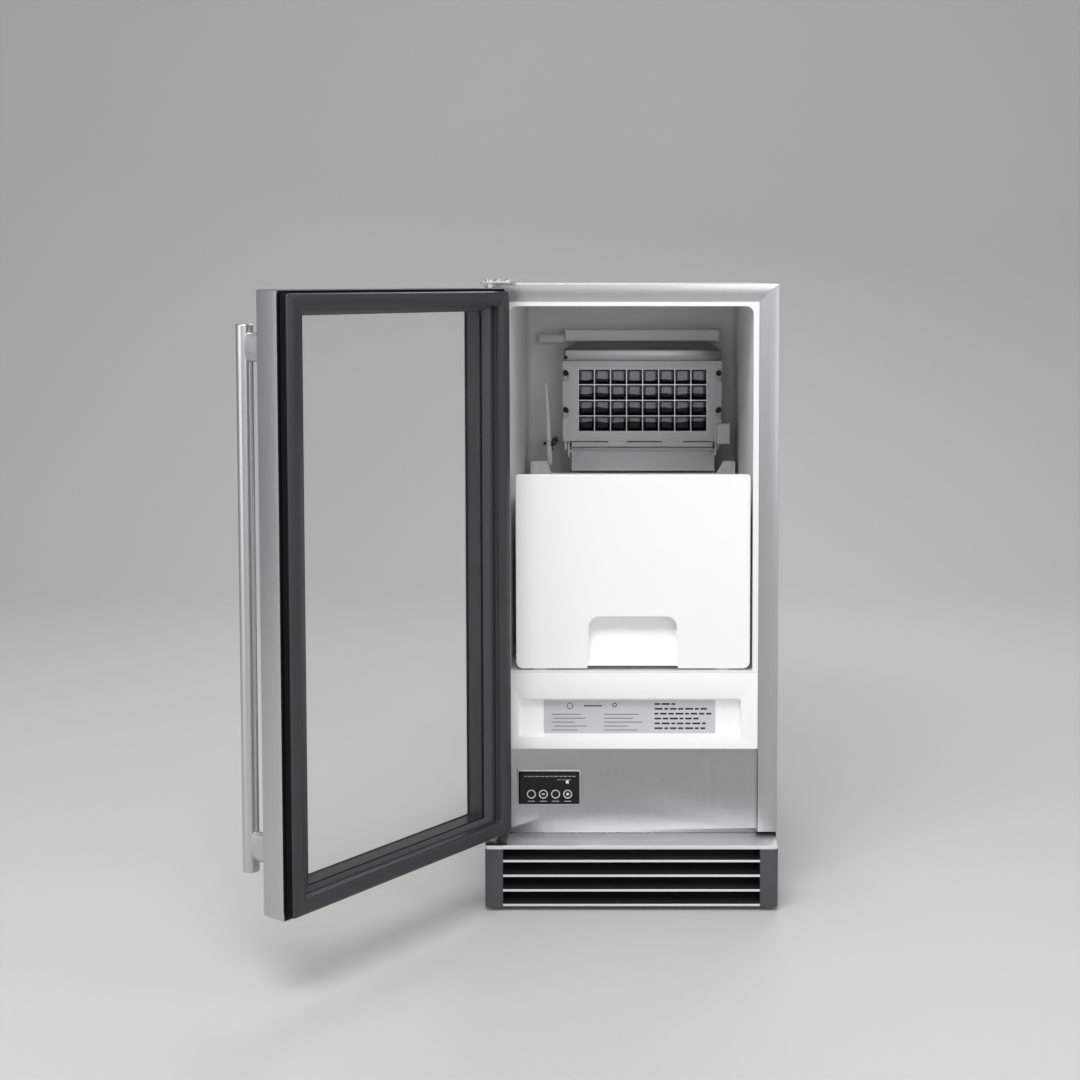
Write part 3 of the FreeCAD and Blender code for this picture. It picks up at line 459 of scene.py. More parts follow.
M["black_gloss"] = moulded("black_gloss", (0.006, 0.006, 0.0065), 0.16, grain=400.0, strength=0.01, tone=0.002, spec=0.3)
M["button"] = moulded("button_black", (0.008, 0.008, 0.009), 0.34, grain=1200.0, strength=0.04, tone=0.002, spec=0.3)
M["print_white"] = moulded("ring_white", (0.8, 0.8, 0.79), 0.4, grain=1500.0, strength=0.02)
M["lens"] = moulded("lens_white", (0.85, 0.87, 0.88), 0.15, grain=600.0, strength=0.01, coat=0.5)
M["pcb"] = moulded("board_green", (0.03, 0.17, 0.08), 0.4, grain=300.0, strength=0.05, tone=0.02)
M["stile"] = moulded("stile_grey", (0.085, 0.085, 0.09), 0.38, grain=1100.0, strength=0.08, tone=0.008, metallic=0.35)
# near-white steel for the louvre lips: painted highlight
M["louvre"] = brushed("louvre_steel_painted_highlight", (0.97, 0.97, 0.97), 0.42, "x", aniso=0.0)
# much lighter than the other stainless: painted highlight for the sheen on the up-facing ledge
M["ledge"] = brushed("ledge_steel_painted_highlight", (0.9, 0.9, 0.905), 0.46, "x", aniso=0.2)
M["hinge"] = brushed("hinge_steel", (0.5, 0.5, 0.51), 0.34, "y", aniso=0.0)
M["screw"] = moulded("screw_nickel", (0.55, 0.55, 0.55), 0.25, grain=500.0, strength=0.04, tone=0.03, metallic=1.0)
M["evap"] = moulded("surround_plastic", (0.74, 0.745, 0.75), 0.36, grain=1100.0, strength=0.05, tone=0.006)
M["cover"] = brushed("cover_steel", (0.42, 0.42, 0.43), 0.36, "x", aniso=0.3)
# dark copy of the cover steel: painted shade on the distributor's up-facing top and in its notches
M["cover_top"] = moulded("distributor_top_painted_shade", (0.16, 0.165, 0.17), 0.4, grain=1100.0, strength=0.05, tone=0.006)
M["grid"] = nickel_painted_reflection("nickel_grid")
# pale copy of the nickel for the cell fronts: painted highlight
M["grid_edge"] = moulded("nickel_front_painted_highlight", (0.8, 0.81, 0.82), 0.3, grain=260.0, strength=0.05, tone=0.03, metallic=1.0)
M["copper"] = moulded("copper_tube", (0.62, 0.33, 0.2), 0.3, grain=200.0, strength=0.04, tone=0.05, metallic=1.0)
M["black_plastic"] = moulded("black_plastic", (0.03, 0.03, 0.031), 0.5, grain=900.0, strength=0.08, tone=0.006)
M["black_metal"] = moulded("black_metal", (0.02, 0.02, 0.021), 0.35, grain=700.0, strength=0.05, tone=0.005)
M["alu"] = moulded("aluminium", (0.62, 0.63, 0.64), 0.3, grain=400.0, strength=0.04, tone=0.03, metallic=1.0)
M["gasket"] = moulded("gasket_rubber", (0.031, 0.031, 0.033), 0.4, grain=1300.0, strength=0.1, tone=0.005, scuff=0.04)
# near-black copy of the gasket rubber: painted shade on the shaded outer sides of the gasket and door core
M["bellows"] = moulded("gasket_side_painted_shade", (0.004, 0.004, 0.0045), 0.6, grain=1300.0, strength=0.1, tone=0.001, spec=0.15)
M["core"] = moulded("door_core", (0.05, 0.05, 0.053), 0.36, grain=1200.0, strength=0.05, tone=0.006)
M["clear"] = moulded("flap_plastic", (0.74, 0.745, 0.75), 0.3, grain=900.0, strength=0.03, tone=0.006)
M["nylon"] = moulded("nylon", (0.82, 0.82, 0.81), 0.38, grain=900.0, strength=0.04, tone=0.006)
M["foot"] = moulded("foot_plastic", (0.03, 0.03, 0.03), 0.55, grain=700.0, strength=0.08, tone=0.006)
M["foam"] = moulded("foam", (0.75, 0.68, 0.42), 0.8, grain=250.0, strength=0.4, tone=0.05)
M["glass"] = glass_mat("clear_glass")

for node, key in (("side_panel_left", "steel_y"), ("side_panel_right", "steel_y"), ("top_panel", "steel_y"),
                  ("rear_panel", "galv"), ("base_pan", "galv"), ("liner", "liner"), ("foam_insulation", "foam"),
                  ("control_board", "pcb"), ("hinge_pins", "screw"), ("pan_head_screws", "screw"),
                  ("evaporator_tube", "copper"), ("distributor_tube", "nylon"), ("water_sump", "evap"),
                  ("compressor", "black_metal"), ("condenser", "alu"), ("fan_shroud", "black_plastic"),
                  ("fan_motor", "black_metal"), ("fan_blade", "black_plastic"), ("refrigerant_line", "copper"),
                  ("drain_pump", "black_plastic"), ("water_inlet_valve", "nylon"), ("drain_connector", "black_plastic"),
                  ("mains_inlet", "black_plastic"), ("glass_outer", "glass"), ("glass_inner", "glass"),
                  ("glass_spacer", "black_metal"), ("hinge_bushes", "nylon"), ("lever_pivot", "black_plastic"),
                  ("ice_bin_tub", "white"), ("ice_bin_front", "white"),
                  ("levelling_foot_front_left", "foot"), ("levelling_foot_front_right", "foot"),
                  ("levelling_foot_rear_left", "foot"), ("levelling_foot_rear_right", "foot")):
    o = NODES[node]
    o.data.materials.clear()
    o.data.materials.append(M[key])
    for p in o.data.polygons:
        p.material_index = 0

# ------------------------------------------------------------------ cabinet front trim
HW, H = 189.0, 798.5
XI, ZI = HW - 25.2, H - 22.5
TB = 87.0


def mitre_strip(name, pts, mat, width=0.5):
    return prism(name, pts, 0.0, 1.5, "y", width, 3, P, mat)


tops = prism_bm([(-HW, H), (HW, H), (XI, ZI), (-XI, ZI)], 0.0, 1.5, "y", 0.5, 3)
lip = rbox_bm(-XI + 0.3, XI - 0.3, 1.4, 8.0, ZI, ZI + 1.0, 0.3, 1)
o = from_bm("trim_top", join_bms([tops, lip]), M["steel_h"])
place(o, "cabinet", "stainless", "front_trim")
for s, nm in ((-1, "trim_left"), (1, "trim_right")):
    pts = [(s * HW, H), (s * XI, ZI), (s * XI, TB), (s * HW, TB)]
    a = prism_bm(pts, 0.0, 1.5, "y", 0.5, 3)
    xs = sorted((s * XI, s * (HW - 1.6)))
    b = rbox_bm(xs[0] + 0.2, xs[1], 1.2, 12.0, TB, TB + 1.2, 0.3, 1)
    o = from_bm(nm, join_bms([a, b]), M["steel_v"])
    place(o, "cabinet", "stainless")

# ------------------------------------------------------------------ fascia, rating plate, service panel
refined("fascia_panel", "fascia", "cabinet", "white_abs", M["white"], 0.5, 2)
o = refined("rating_plate_sheet", "rating_plate", "cabinet", "label_grey", M["label"], 0.1, 1)

bars = []


def bar(x0, x1, z, h=1.1, y=9.9):
    bars.append(rbox_bm(x0, x1, y - 0.06, y + 0.02, z - h / 2, z + h / 2, 0.0))


# generic dashes, not lettering
for i, (xa, xb) in enumerate(((-104, -66), (-102, -60), (-104, -74), (-100, -58), (-104, -70))):
    bar(xa, xb, 239.5 - i * 5.2, 0.8)
for i, (xa, xb) in enumerate(((-36, 10), (-36, 2), (-36, 14), (-36, -4), (-36, 8))):
    bar(xa, xb, 239.5 - i * 5.2, 0.8)
for i, (xa, xb) in enumerate(((30, 62), (30, 98), (30, 104), (30, 88), (30, 102), (30, 96))):
    x = xa
    k = 0
    while x < xb - 4:
        w = (7.0, 10.5, 5.0, 8.5)[(k + i) % 4]
        bar(x, min(x + w, xb), 253.0 - i * 6.4, 2.4)
        x += w + 2.2
        k += 1
for i, r in enumerate((4.2,)):
    bars.append(lathe_bm([(r - 0.9, 0.0), (r, 0.0), (r, 0.08), (r - 0.9, 0.08)], (-80.0, 9.84, 250.5), "y", 32, P, True))
bars.append(lathe_bm([(1.9, 0.0), (3.0, 0.0), (3.0, 0.08), (1.9, 0.08)], (-22.0, 9.84, 251.5), "y", 24, P, True))
bar(-62, -38, 250.5, 1.6)
o = from_bm("rating_plate_marks", join_bms(bars), M["ink"], False)
place(o, "cabinet", "label_grey")

refined("service_panel_sheet", "service_panel", "cabinet", "stainless", M["steel_panel"], 0.3, 2)

# ------------------------------------------------------------------ control panel
CB = (-148.0, -67.0, 119.7, 164.6)
PY = 13.0
BX = (-130.6, -114.9, -99.0, -83.2)
BZ = 133.9
refined("control_bezel_plate", "control_bezel", "cabinet", "black_gloss", M["black_gloss"], 0.25, 2)
edge = frame_sweep("control_bezel_edge", (CB[0] - 0.6, CB[1] + 0.6, CB[2] - 0.6, CB[3] + 0.6),
                   [(0, 0, PY - 0.1, 2.0), (0, 0, PY - 2.2, 2.0), (0.5, 0.5, PY - 2.7, 1.6), (1.3, 1.3, PY - 2.7, 1.0), (1.5, 1.5, PY - 2.3, 0.9), (1.5, 1.5, PY - 0.1, 0.9)],
                   P, M["steel_h"])
place(edge, "cabinet", "black_gloss")
marks = []
x = CB[0] + 8
for w in (3.2, 5.0, 2.4, 6.2, 4.0, 5.4, 3.0, 6.0, 4.4, 5.0, 3.4, 4.6):
    if x + w > CB[1] - 4:
        break
    marks.append(rbox_bm(x, x + w, PY - 2.46, PY - 2.3, 156.6, 157.7, 0.0))
    x += w + 1.3
for x, w in ((-97, 5.5), (-90.2, 4.0), (-85, 6)):
    marks.append(rbox_bm(x, x + w, PY - 2.46, PY - 2.3, 152.3, 153.1, 0.0))
for bx in BX:
    marks.append(rbox_bm(bx - 4.6, bx + 4.4, PY - 2.46, PY - 2.3, 123.7, 124.8, 0.0))
o = from_bm("control_print", join_bms(marks), M["ink_light"], False)
place(o, "cabinet", "black_gloss")
for bx, nm, body in zip(BX, ("power", "light", "clean", "mode"), ("button_power", "button_light", "button_clean", "button_mode")):
    r = 6.4
    cap = lathe_bm([(0.0, -3.05), (3.6, -3.05), (4.6, -3.1), (5.9, -3.2), (6.25, -3.05), (6.4, -2.7), (6.4, 3.2), (1.8, 3.2), (1.8, 8.2), (0.0, 8.2)], (bx, PY, BZ), "y", 44)
    o = from_bm("cap_" + nm, cap, M["button"])
    place(o, body, "button_black", body)
    ring = lathe_bm([(4.65, -3.2), (5.7, -3.26), (5.7, -3.0), (4.65, -2.95)], (bx, PY, BZ), "y", 44, P, True)
    o = from_bm("ring_" + nm, ring, M["print_white"])
    place(o, body, "button_black")
glyphs = {"button_light": (-114.9, 1), "button_mode": (-83.2, 2)}
for body, (gx, kind) in glyphs.items():
    if kind == 2:
        g = lathe_bm([(0.0, -3.16), (1.8, -3.16), (1.8, -3.0), (0.0, -3.0)], (gx, PY, BZ), "y", 20)
    else:
        g = rbox_bm(gx - 2.0, gx + 2.0, PY - 3.18, PY - 3.0, BZ - 0.6, BZ + 0.7, 0.0)
    o = from_bm("glyph_" + body, g, M["print_white"])
    place(o, body, "button_black")
o = rbox("lens_window", -85.7, -81.7, PY - 2.6, PY + 3.9, 147.7, 151.7, 0.35, 3, P, M["lens"])
place(o, "cabinet", "lens", "indicator_lens")

# ------------------------------------------------------------------ kick grille
refined("ledge_sheet", "plinth_ledge", "cabinet", "stainless", M["ledge"], 0.35, 3)
refined("stile_caps", "plinth_stiles", "cabinet", "stile_grey", M["stile"], 0.7, 3)
lou = []
for z in (65.0, 46.0, 27.0, 8.0):
    xl = 186.8 - 23.1 - 0.05
    lip_pts = [(-47.6, z - 1.5), (-47.6, z + 1.5), (-46.4, z + 1.5), (-45.2, z + 0.9), (-15.2, z + 12.5), (-15.0, z + 11.2), (-44.6, z - 0.6), (-45.8, z - 1.5)]
    lou.append(prism_bm(lip_pts, -xl, xl, "x", 0.28, 2))
o = from_bm("louvre_blades", join_bms(lou), M["louvre"])
# faces behind each lip are black and the lips near-white: painted shade under each lip, painted highlight on it
o.data.materials.append(M["black_metal"])
for p_ in o.data.polygons:
    if p_.center.y > P(0.0, -45.0, 0.0)[1]:
        p_.material_index = 1
place(o, "cabinet", "louvre", "grille_louvres")

# ------------------------------------------------------------------ hinges
refined("hinge_plate_upper", "hinge_plate_top", "cabinet", "hinge_steel", M["hinge"], 0.5, 2)
refined("hinge_bracket_lower", "hinge_bracket_bottom", "cabinet", "black_metal", M["black_metal"], 0.6, 2)

# ------------------------------------------------------------------ door
DZ0, DZ1 = 96.0, 793.6
YS, YB = -46.6, -13.1
R = (-HW, HW, DZ0, DZ1)
WX, WZ = 41.0, 29.0
prof = [(0, 0, YB, 2.5), (0, 0, YS + 2.4, 2.5), (0.35, 0.35, YS + 1.2, 2.3), (1.1, 1.1, YS + 0.4, 1.9), (2.3, 2.3, YS, 1.2),
        (WX - 1.0, WZ - 1.0, YS, 1.2), (WX - 0.3, WZ - 0.3, YS + 0.3, 0.8), (WX, WZ, YS + 1.0, 0.6), (WX, WZ, YS + 1.3, 0.6), (2.2, 2.2, YS + 1.3, 1.2), (1.2, 1.2, YB, 1.4)]
o = frame_sweep("door_skin", R, prof, D, M["steel_door"], True, 6)
place(o, "door", "stainless", "door_shell")
prof = [(1.35, 1.35, YB - 30, 1.2), (1.35, 1.35, YB - 0.4, 1.2), (1.9, 1.9, YB, 1.0), (8.0, 8.0, YB, 1.0), (WX - 11.0, WZ - 5.0, YB, 1.6), (WX - 9.6, WZ - 4.2, YB - 0.5, 1.5),
        (WX - 1.2, WZ - 0.8, YB - 3.3, 1.0), (WX - 0.3, WZ - 0.2, YB - 3.95, 0.8), (WX - 0.2, WZ - 0.1, YB - 4.0, 0.8),
        (WX - 7.0, WZ - 7.0, YB - 4.0, 1.0), (WX - 7.0, WZ - 7.0, YS + 1.35, 1.0), (2.3, 2.3, YS + 1.35, 1.0)]
o = frame_sweep("door_frame_core", R, prof, D, M["core"], True, 5)
# the first bands, the core's outer side and the strip next to it, take the same near-black: painted shade
o.data.materials.append(M["bellows"])
for i in range(3 * 20):
    o.data.polygons[i].material_index = 1
place(o, "door", "door_core", "door_inner_frame")


def gz(o_):
    return 4.0 + (o_ - 4.0) * 19.0 / 21.0


gp = [(6.0, -13.0), (4.6, -12.4), (4.1, -11.4), (4.6, -10.4), (6.6, -9.8), (6.6, -9.2), (4.6, -8.6), (4.1, -7.6), (4.6, -6.6), (6.6, -6.1),
      (6.6, -5.6), (4.6, -5.1), (4.1, -4.3), (4.5, -3.2), (5.6, -1.9), (7.2, -0.9), (9.5, -0.45), (12.4, -0.36), (16.0, -0.5), (19.5, -0.95), (21.6, -1.7), (22.6, -2.6),
      (23.0, -3.4), (23.4, -3.5), (24.2, -3.4), (24.7, -4.4), (24.8, -6.2), (23.9, -8.2), (24.6, -9.6), (24.9, -11.2), (24.2, -12.6), (23.0, -13.0)]
GN = 6
o = frame_sweep("door_gasket", R, [(a, gz(a), y, 4.0 if a < 12 else 2.0) for a, y in gp], D, M["gasket"], True, GN, 50.0)
# the bellows on the outer side is painted near-black, much darker than the face: painted shade for the shade that falls
# on that side
o.data.materials.append(M["bellows"])
for i in range(13 * 4 * GN):
    o.data.polygons[i].material_index = 1
place(o, "door", "gasket_rubber", "gasket")

hx, hy = 162.0, -96.6
hr = 9.6
z0, z1 = 129.0, 754.5
bar_prof = [(0.0, z0), (hr - 2.2, z0), (hr - 0.9, z0 + 0.25), (hr - 0.25, z0 + 0.9), (hr, z0 + 2.0)]
bar_prof += [(hr, z0 + 2.0 + (z1 - z0 - 4.0) * k / 12.0) for k in range(1, 12)]
bar_prof += [(hr, z1 - 2.0), (hr - 0.25, z1 - 0.9), (hr - 0.9, z1 - 0.25), (hr - 2.2, z1), (0.0, z1)]
o = lathe("handle_tube", bar_prof, (hx, hy, 0.0), "z", 64, D, M["handle"])
place(o, "door", "handle_steel", "handle_bar")


def post(name, zc):
    """A stand-off that is slim at the bar and swells into an oval foot on the door."""
    n = 36
    verts, faces = [], []
    secs = [(YS - 0.05, 7.5, 18.8), (YS - 1.2, 7.5, 18.7), (YS - 3.0, 7.4, 18.2), (YS - 7.0, 7.2, 17.6), (YS - 16.0, 7.0, 17.2),
            (YS - 28.0, 6.9, 16.9), (YS - 38.0, 6.8, 16.7), (hy + 7.0, 6.8, 16.6)]
    for y, a, b in secs:
        for i in range(n):
            t = 2 * math.pi * i / n
            c, s = math.cos(t), math.sin(t)
            e = 2.0 / 2.8
            x = a * math.copysign(abs(c) ** e, c)
            z = b * math.copysign(abs(s) ** e, s)
            verts.append(D(hx + x, y, zc + z))
    for k in range(len(secs) - 1):
        for i in range(n):
            j = (i + 1) % n
            faces.append((k * n + i, k * n + j, (k + 1) * n + j, (k + 1) * n + i))
    faces.append(tuple(range(n))[::-1])
    faces.append(tuple((len(secs) - 1) * n + i for i in range(n)))
    return make(name, verts, faces, M["handle"], True, 40.0)


o = post("handle_post_lower", 160.5)
place(o, "door", "handle_steel", "handle_posts")
o = post("handle_post_upper", 729.0)
place(o, "door", "handle_steel")

# ------------------------------------------------------------------ evaporator group
refined("evaporator_surround", "evaporator_frame", "cabinet", "evap_plastic", M["evap"], 0.5, 2)


def cover_mesh():
    """Folded cover: upright front, angled ends, and a top that slopes up to the back wall."""
    b = [(-99.5, 318, 685), (-97, 315, 685), (103, 315, 685), (132, 324, 685), (132, 348, 685), (-99.5, 348, 685)]
    t_ = [(-99.5, 318, 700.5), (-97, 315, 700.5), (103, 315, 700.5), (132, 324, 698.5), (132, 348, 698.5), (-99.5, 348, 700.5)]
    u = [(113, 348, 711), (-80, 348, 711)]
    bm = bmesh.new()
    B = [bm.verts.new(P(*q)) for q in b]
    T = [bm.verts.new(P(*q)) for q in t_]
    U = [bm.verts.new(P(*q)) for q in u]
    for f in ([B[1], B[2], T[2], T[1]], [B[0], B[1], T[1], T[0]], [B[2], B[3], T[3], T[2]], [B[3], B[4], T[4], T[3]],
              [B[5], B[0], T[0], T[5]], [T[1], T[2], U[0], U[1]], [T[2], T[3], U[0]], [T[3], T[4], U[0]],
              [T[0], T[1], U[1]], [T[0], U[1], T[5]], [B[4], B[5], T[5], U[1], U[0], T[4]], B[::-1]):
        bm.faces.new(f)
    bmesh.ops.recalc_face_normals(bm, faces=bm.faces)
    bevel_bm(bm, 0.6, 2, 20.0)
    o_ = from_bm("water_distributor", bm, M["cover"])
    # the up-facing top faces get the dark copy: painted shade
    o_.data.materials.append(M["cover_top"])
    for p_ in o_.data.polygons:
        if p_.normal.z > 0.6:
            p_.material_index = 1
    return o_


place(cover_mesh(), "cabinet", "stainless", "distributor_cover")
# the notches are drawn as thin dark bars on the cover front: painted shade in place of cut recesses
ticks = [rbox_bm(x_ - 0.5, x_ + 0.5, 314.8, 315.4, 684.9, 687.4, 0.0) for x_ in (-80.0, -58.5, -44.0, 77.5)]
o = from_bm("distributor_notch_shade", join_bms(ticks), M["cover_top"], False)
place(o, "cabinet", "stainless")
# pale strips along the slot edges and two short marks: painted highlight where light catches the slots
slot_highlights = [rbox_bm(a_, b_, 316.2, 318.3, z_ - 0.7, z_ + 0.7, 0.3, 2) for a_, b_, z_ in
        ((-88.0, -37.0, 564.0), (-8.0, 44.5, 564.0), (76.5, 119.0, 564.0), (-33.0, -15.0, 573.2), (47.5, 70.0, 573.6))]
o = from_bm("surround_slot_highlights", join_bms(slot_highlights), M["nylon"])
place(o, "cabinet", "nylon")
refined("switch_housing", "bin_switch_box", "cabinet", "nylon", M["nylon"], 0.5, 2)



def pan_screw(cx, cy, cz, axis, sign, r, h):
    """Domed head with a cross recess given as thin flat bars, which the callers colour dark as painted shade; the head
    stands out along sign * axis.
    """
    prof_ = [(0.0, h), (r * 0.55, h * 0.93), (r * 0.85, h * 0.68), (r, h * 0.3), (r, 0.0), (0.0, 0.0)]
    head = lathe_bm([(a_, sign * b_) for a_, b_ in prof_], (cx, cy, cz), axis, 28)
    w_, l_ = r * 0.13, r * 0.55
    marks_ = []
    for u_, v_ in ((l_, w_), (w_, l_)):
        if axis == "y":
            y0_, y1_ = sorted((cy + sign * h * 0.8, cy + sign * (h + 0.05)))
            marks_.append(rbox_bm(cx - u_, cx + u_, y0_, y1_, cz - v_, cz + v_, 0.0))
        else:
            z0_, z1_ = sorted((cz + sign * h * 0.8, cz + sign * (h + 0.05)))
            marks_.append(rbox_bm(cx - u_, cx + u_, cy - v_, cy + v_, z0_, z1_, 0.0))
    return head, marks_


heads, cross = [], []
for x_ in (-96.8, 128.3):
    for z_ in (666.0, 611.5):
        a_, b_ = pan_screw(x_, 327.0, z_, "y", -1, 4.2, 2.6)
        heads.append(a_)
        cross += b_
a_, b_ = pan_screw(-96.0, 315.0, 689.8, "y", -1, 2.6, 1.4)
heads.append(a_)
cross += b_
# the heads are black rather than plated: painted shade for the shade in the surround's notches; the cross bars are
# painted shade too
o = from_bm("surround_screws_painted_shade", join_bms(heads), M["black_metal"])
place(o, "cabinet", "screw_steel", "pan_head_screws")
o = from_bm("surround_screw_recess_shade", join_bms(cross), M["black_plastic"], False)
place(o, "cabinet", "screw_steel")
HINGE_TOP = 801.5
heads, cross = [], []
for x_ in (-184.0, -171.5, -159.0):
    a_, b_ = pan_screw(x_, 15.0, HINGE_TOP, "z", 1, 4.0, 2.4)
    heads.append(a_)
    cross += b_
o = from_bm("hinge_screws", join_bms(heads), M["screw"])
place(o, "cabinet", "screw_steel")
# dark cross bars on the plated heads: painted shade in place of cut recesses
o = from_bm("hinge_screw_recess_shade", join_bms(cross), M["black_metal"], False)
place(o, "cabinet", "screw_steel")

GX0, GZ0, PX, PZ, COLS, ROWS = -78.0, 580.4, 23.6, 23.0, 8, 4
GY0, GY1 = 319.0, 342.0


def cube_grid():
    """Cells with thin strips that widen to rounded corners at the back."""
    verts, faces = [], []
    t0, t1 = 0.55, 1.3
    n = 4

    def ring(cx, cz, hx_, hz_, r, y):
        ids = []
        for sx, sz, a0 in ((1, -1, -90), (1, 1, 0), (-1, 1, 90), (-1, -1, 180)):
            for i in range(n):
                a = math.radians(a0 + 90.0 * i / (n - 1))
                ids.append(len(verts))
                verts.append(P(cx + sx * (hx_ - r) + r * math.cos(a), y, cz + sz * (hz_ - r) + r * math.sin(a)))
        return ids

    def square(cx, cz, y):
        ids = []
        for sx, sz in ((1, -1), (1, 1), (-1, 1), (-1, -1)):
            ids.append(len(verts))
            verts.append(P(cx + sx * PX / 2, y, cz + sz * PZ / 2))
        return ids

    for i in range(COLS):
        for j in range(ROWS):
            cx, cz = GX0 + PX * (i + 0.5), GZ0 + PZ * (j + 0.5)
            sq = square(cx, cz, GY0)
            lips = ring(cx, cz, PX / 2 - t0, PZ / 2 - t0, 0.8, GY0)
            a = ring(cx, cz, PX / 2 - t0 - 0.15, PZ / 2 - t0 - 0.15, 1.0, GY0 + 0.5)
            b = ring(cx, cz, PX / 2 - t1, PZ / 2 - t1, 2.6, GY1 - 5.0)
            c = ring(cx, cz, PX / 2 - t1 - 1.2, PZ / 2 - t1 - 1.2, 2.6, GY1 - 2.6)
            d = ring(cx, cz, PX / 2 - t1 - 3.2, PZ / 2 - t1 - 3.2, 2.2, GY1 - 1.6)
            m = len(lips)
            for ra, rb in ((lips, a), (a, b), (b, c), (c, d)):
                for k in range(m):
                    q = (k + 1) % m
                    faces.append((ra[k], ra[q], rb[q], rb[k]))
            faces.append(tuple(d))
            for s in range(4):
                e = (s + 1) % 4
                grp = lips[s * n:(s + 1) * n]
                for k in range(n - 1):
                    faces.append((sq[s], grp[k + 1], grp[k]))
                faces.append((sq[s], sq[e], lips[e * n], grp[-1]))
    bx0, bx1, bz0, bz1 = GX0, GX0 + PX * COLS, GZ0, GZ0 + PZ * ROWS
    # outer skin and back
    for i in range(COLS):
        for z in (bz0, bz1):
            q = len(verts)
            xa, xb = GX0 + PX * i, GX0 + PX * (i + 1)
            verts.extend([P(xa, GY0, z), P(xb, GY0, z), P(xb, GY1, z), P(xa, GY1, z)])
            faces.append((q, q + 1, q + 2, q + 3))
    for j in range(ROWS):
        for x in (bx0, bx1):
            q = len(verts)
            za, zb = GZ0 + PZ * j, GZ0 + PZ * (j + 1)
            verts.extend([P(x, GY0, za), P(x, GY0, zb), P(x, GY1, zb), P(x, GY1, za)])
            faces.append((q, q + 1, q + 2, q + 3))
    for i in range(COLS):
        for j in range(ROWS):
            q = len(verts)
            xa, xb = GX0 + PX * i, GX0 + PX * (i + 1)
            za, zb = GZ0 + PZ * j, GZ0 + PZ * (j + 1)
            verts.extend([P(xa, GY1, za), P(xa, GY1, zb), P(xb, GY1, zb), P(xb, GY1, za)])
            faces.append((q, q + 1, q + 2, q + 3))
    o_ = make("cube_cells", verts, faces, M["grid"], True, 14.0)
    bm = bmesh.new()
    bm.from_mesh(o_.data)
    bmesh.ops.remove_doubles(bm, verts=bm.verts, dist=1e-6)
    bmesh.ops.recalc_face_normals(bm, faces=bm.faces)
    bm.to_mesh(o_.data)
    bm.free()
    finish_mesh(o_, True, 14.0)
    # the front faces of the lattice take the pale copy: painted highlight
    o_.data.materials.append(M["grid_edge"])
    front = (GY0 + Y_SHIFT) / 1000.0
    for p_ in o_.data.polygons:
        if abs(p_.center.y - front) < 1e-5:
            p_.material_index = 1
    return o_


o = cube_grid()
place(o, "cabinet", "nickel_grid", "evaporator_grid")

# hanging flap with its flared sides and arms
FX0, FX1 = -88.0, 122.0
bms = [prism_bm([(321.6, 555.4), (322.2, 556.2), (333.0, 549.8), (318.3, 522.6), (316.7, 522.6), (331.0, 549.5)], FX0, FX1, "x", 0.25, 2)]
for x in (FX0, FX1 - 1.6):
    bms.append(prism_bm([(321.5, 554.0), (331.0, 549.5), (317.5, 523.0)], x, x + 1.6, "x", 0.2, 1))
bms.append(prism_bm([(320.5, 564.0), (328.5, 564.0), (328.5, 552.0), (326.0, 543.0), (319.0, 543.0)], -93.6, -91.2, "x", 0.4, 2))
bms.append(prism_bm([(303.0, 593.0), (306.5, 593.0), (306.5, 562.0), (328.5, 560.5), (328.5, 552.0), (326.0, 545.0), (303.0, 547.0)], 122.0, 124.3, "x", 0.4, 2))
bms.append(rbox_bm(-92.0, FX0 + 0.5, 321.6, 326.0, 549.5, 552.8, 0.2, 1))
for a, b in ((-98.4, -92.4), (123.0, 129.4)):
    bms.append(lathe_bm([(0.0, a), (1.5, a), (1.8, a + 0.3), (1.8, b - 0.3), (1.5, b), (0.0, b)], (0.0, 325.0, 558.0), "x", 20))
o = from_bm("hanging_flap", join_bms(bms), M["clear"])
place(o, "ice_flap", "clear_plastic", "ice_flap")

refined("lever_pin_block", "lever_pivot", "cabinet", "black_plastic", M["black_plastic"], 0.25, 2)
refined("level_blade", "level_lever", "level_lever", "nylon", M["nylon"], 0.35, 2)

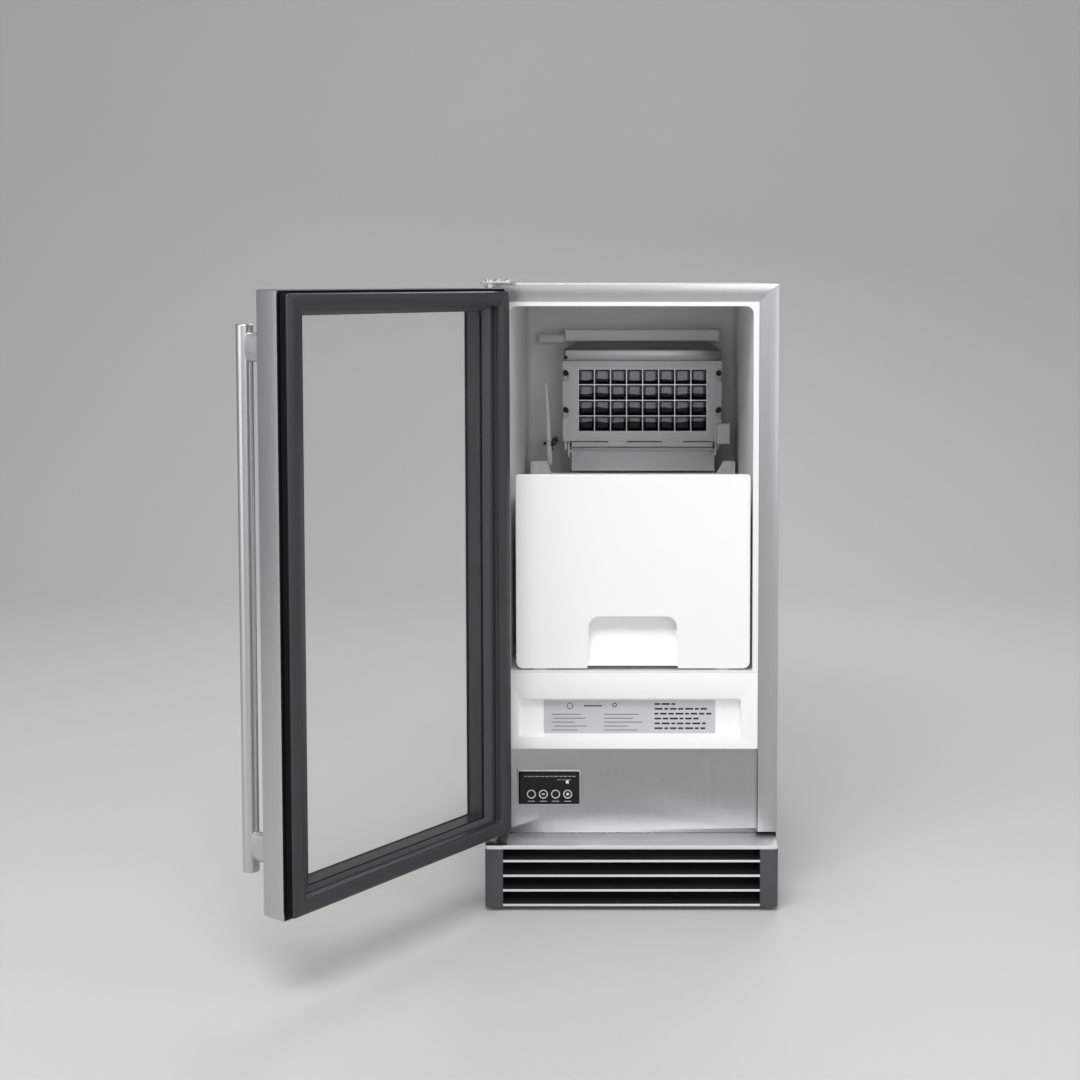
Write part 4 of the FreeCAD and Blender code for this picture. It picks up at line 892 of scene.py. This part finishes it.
# ------------------------------------------------------------------ stage, lights, camera
bm = bmesh.new()
W_, BACK, FRONT, TOPZ, RR = 9.0, 3.4, -7.0, 6.0, 1.6
prof = [(FRONT, 0.0), (BACK - RR, 0.0)]
for i in range(1, 13):
    a = math.radians(90.0 * i / 12)
    prof.append((BACK - RR + RR * math.sin(a), RR - RR * math.cos(a)))
prof.append((BACK, TOPZ))
rows = [[bm.verts.new((x, y, z)) for x in (-W_, W_)] for y, z in prof]
for a, b in zip(rows, rows[1:]):
    bm.faces.new([a[0], a[1], b[1], b[0]])
floor = from_bm("floor", bm, None)
fm, ft, fb = nt("floor_pale")
fv = coords(ft, (1.0, 1.0, 1.0))
fb.inputs["Roughness"].default_value = 0.6
ft.links.new(colour_mix(ft, noise(ft, fv, 0.8, 2.0), (0.60, 0.60, 0.59), (0.64, 0.64, 0.63)), fb.inputs["Base Color"])
floor.data.materials.append(fm)

w = bpy.data.worlds.new("studio")
SCN.world = w
w.use_nodes = True
w.node_tree.nodes["Background"].inputs["Color"].default_value = (0.82, 0.84, 0.86, 1)
w.node_tree.nodes["Background"].inputs["Strength"].default_value = 0.45


def area(name, loc, target, size, energy, size_y=None, colour=(1, 1, 1)):
    l = bpy.data.lights.new(name, "AREA")
    l.shape = "RECTANGLE" if size_y else "SQUARE"
    l.size = size
    if size_y:
        l.size_y = size_y
    l.energy = energy
    l.color = colour
    ob = bpy.data.objects.new(name, l)
    SCN.collection.objects.link(ob)
    ob.location = loc
    ob.rotation_euler = (Vector(target) - Vector(loc)).to_track_quat("-Z", "Y").to_euler()
    return ob


area("key", (-0.5, -2.0, 2.7), (0.0, -0.2, 0.4), 1.7, 48.0, 1.2)
area("front", (1.3, -3.6, 1.15), (0.0, 0.0, 0.45), 1.3, 10.0, 1.1)
area("front_wide", (0.0, -4.6, 1.3), (0.0, 0.0, 0.6), 3.6, 12.0, 1.9)
area("side_left", (-2.3, -1.7, 1.2), (0.0, -0.2, 0.4), 1.8, 18.0, 2.2)
area("side_right", (2.2, -1.2, 1.2), (0.1, -0.2, 0.4), 0.8, 9.0, 1.8)
area("rear_top", (0.3, 1.8, 2.4), (0.0, 0.0, 0.6), 1.6, 24.0, 1.0)

cam_data = bpy.data.cameras.new("camera")
cam = bpy.data.objects.new("camera", cam_data)
SCN.collection.objects.link(cam)
SCN.camera = cam
cam_data.sensor_width = 36.0
cam_data.lens = 1690.7 / 1080.0 * 36.0
cam_data.shift_x = (540.0 - 631.6) / 1080.0
cam_data.shift_y = (375.25 - 540.0) / 1080.0
cam_data.clip_end = 60.0
cam.location = P(0.16, -2159.95, 805.87)
cam.rotation_euler = (math.radians(90.0 - 3.292), 0.0, 0.0)

SCN.view_settings.view_transform = "Standard"
SCN.view_settings.look = "None"
SCN.view_settings.exposure = 0.0
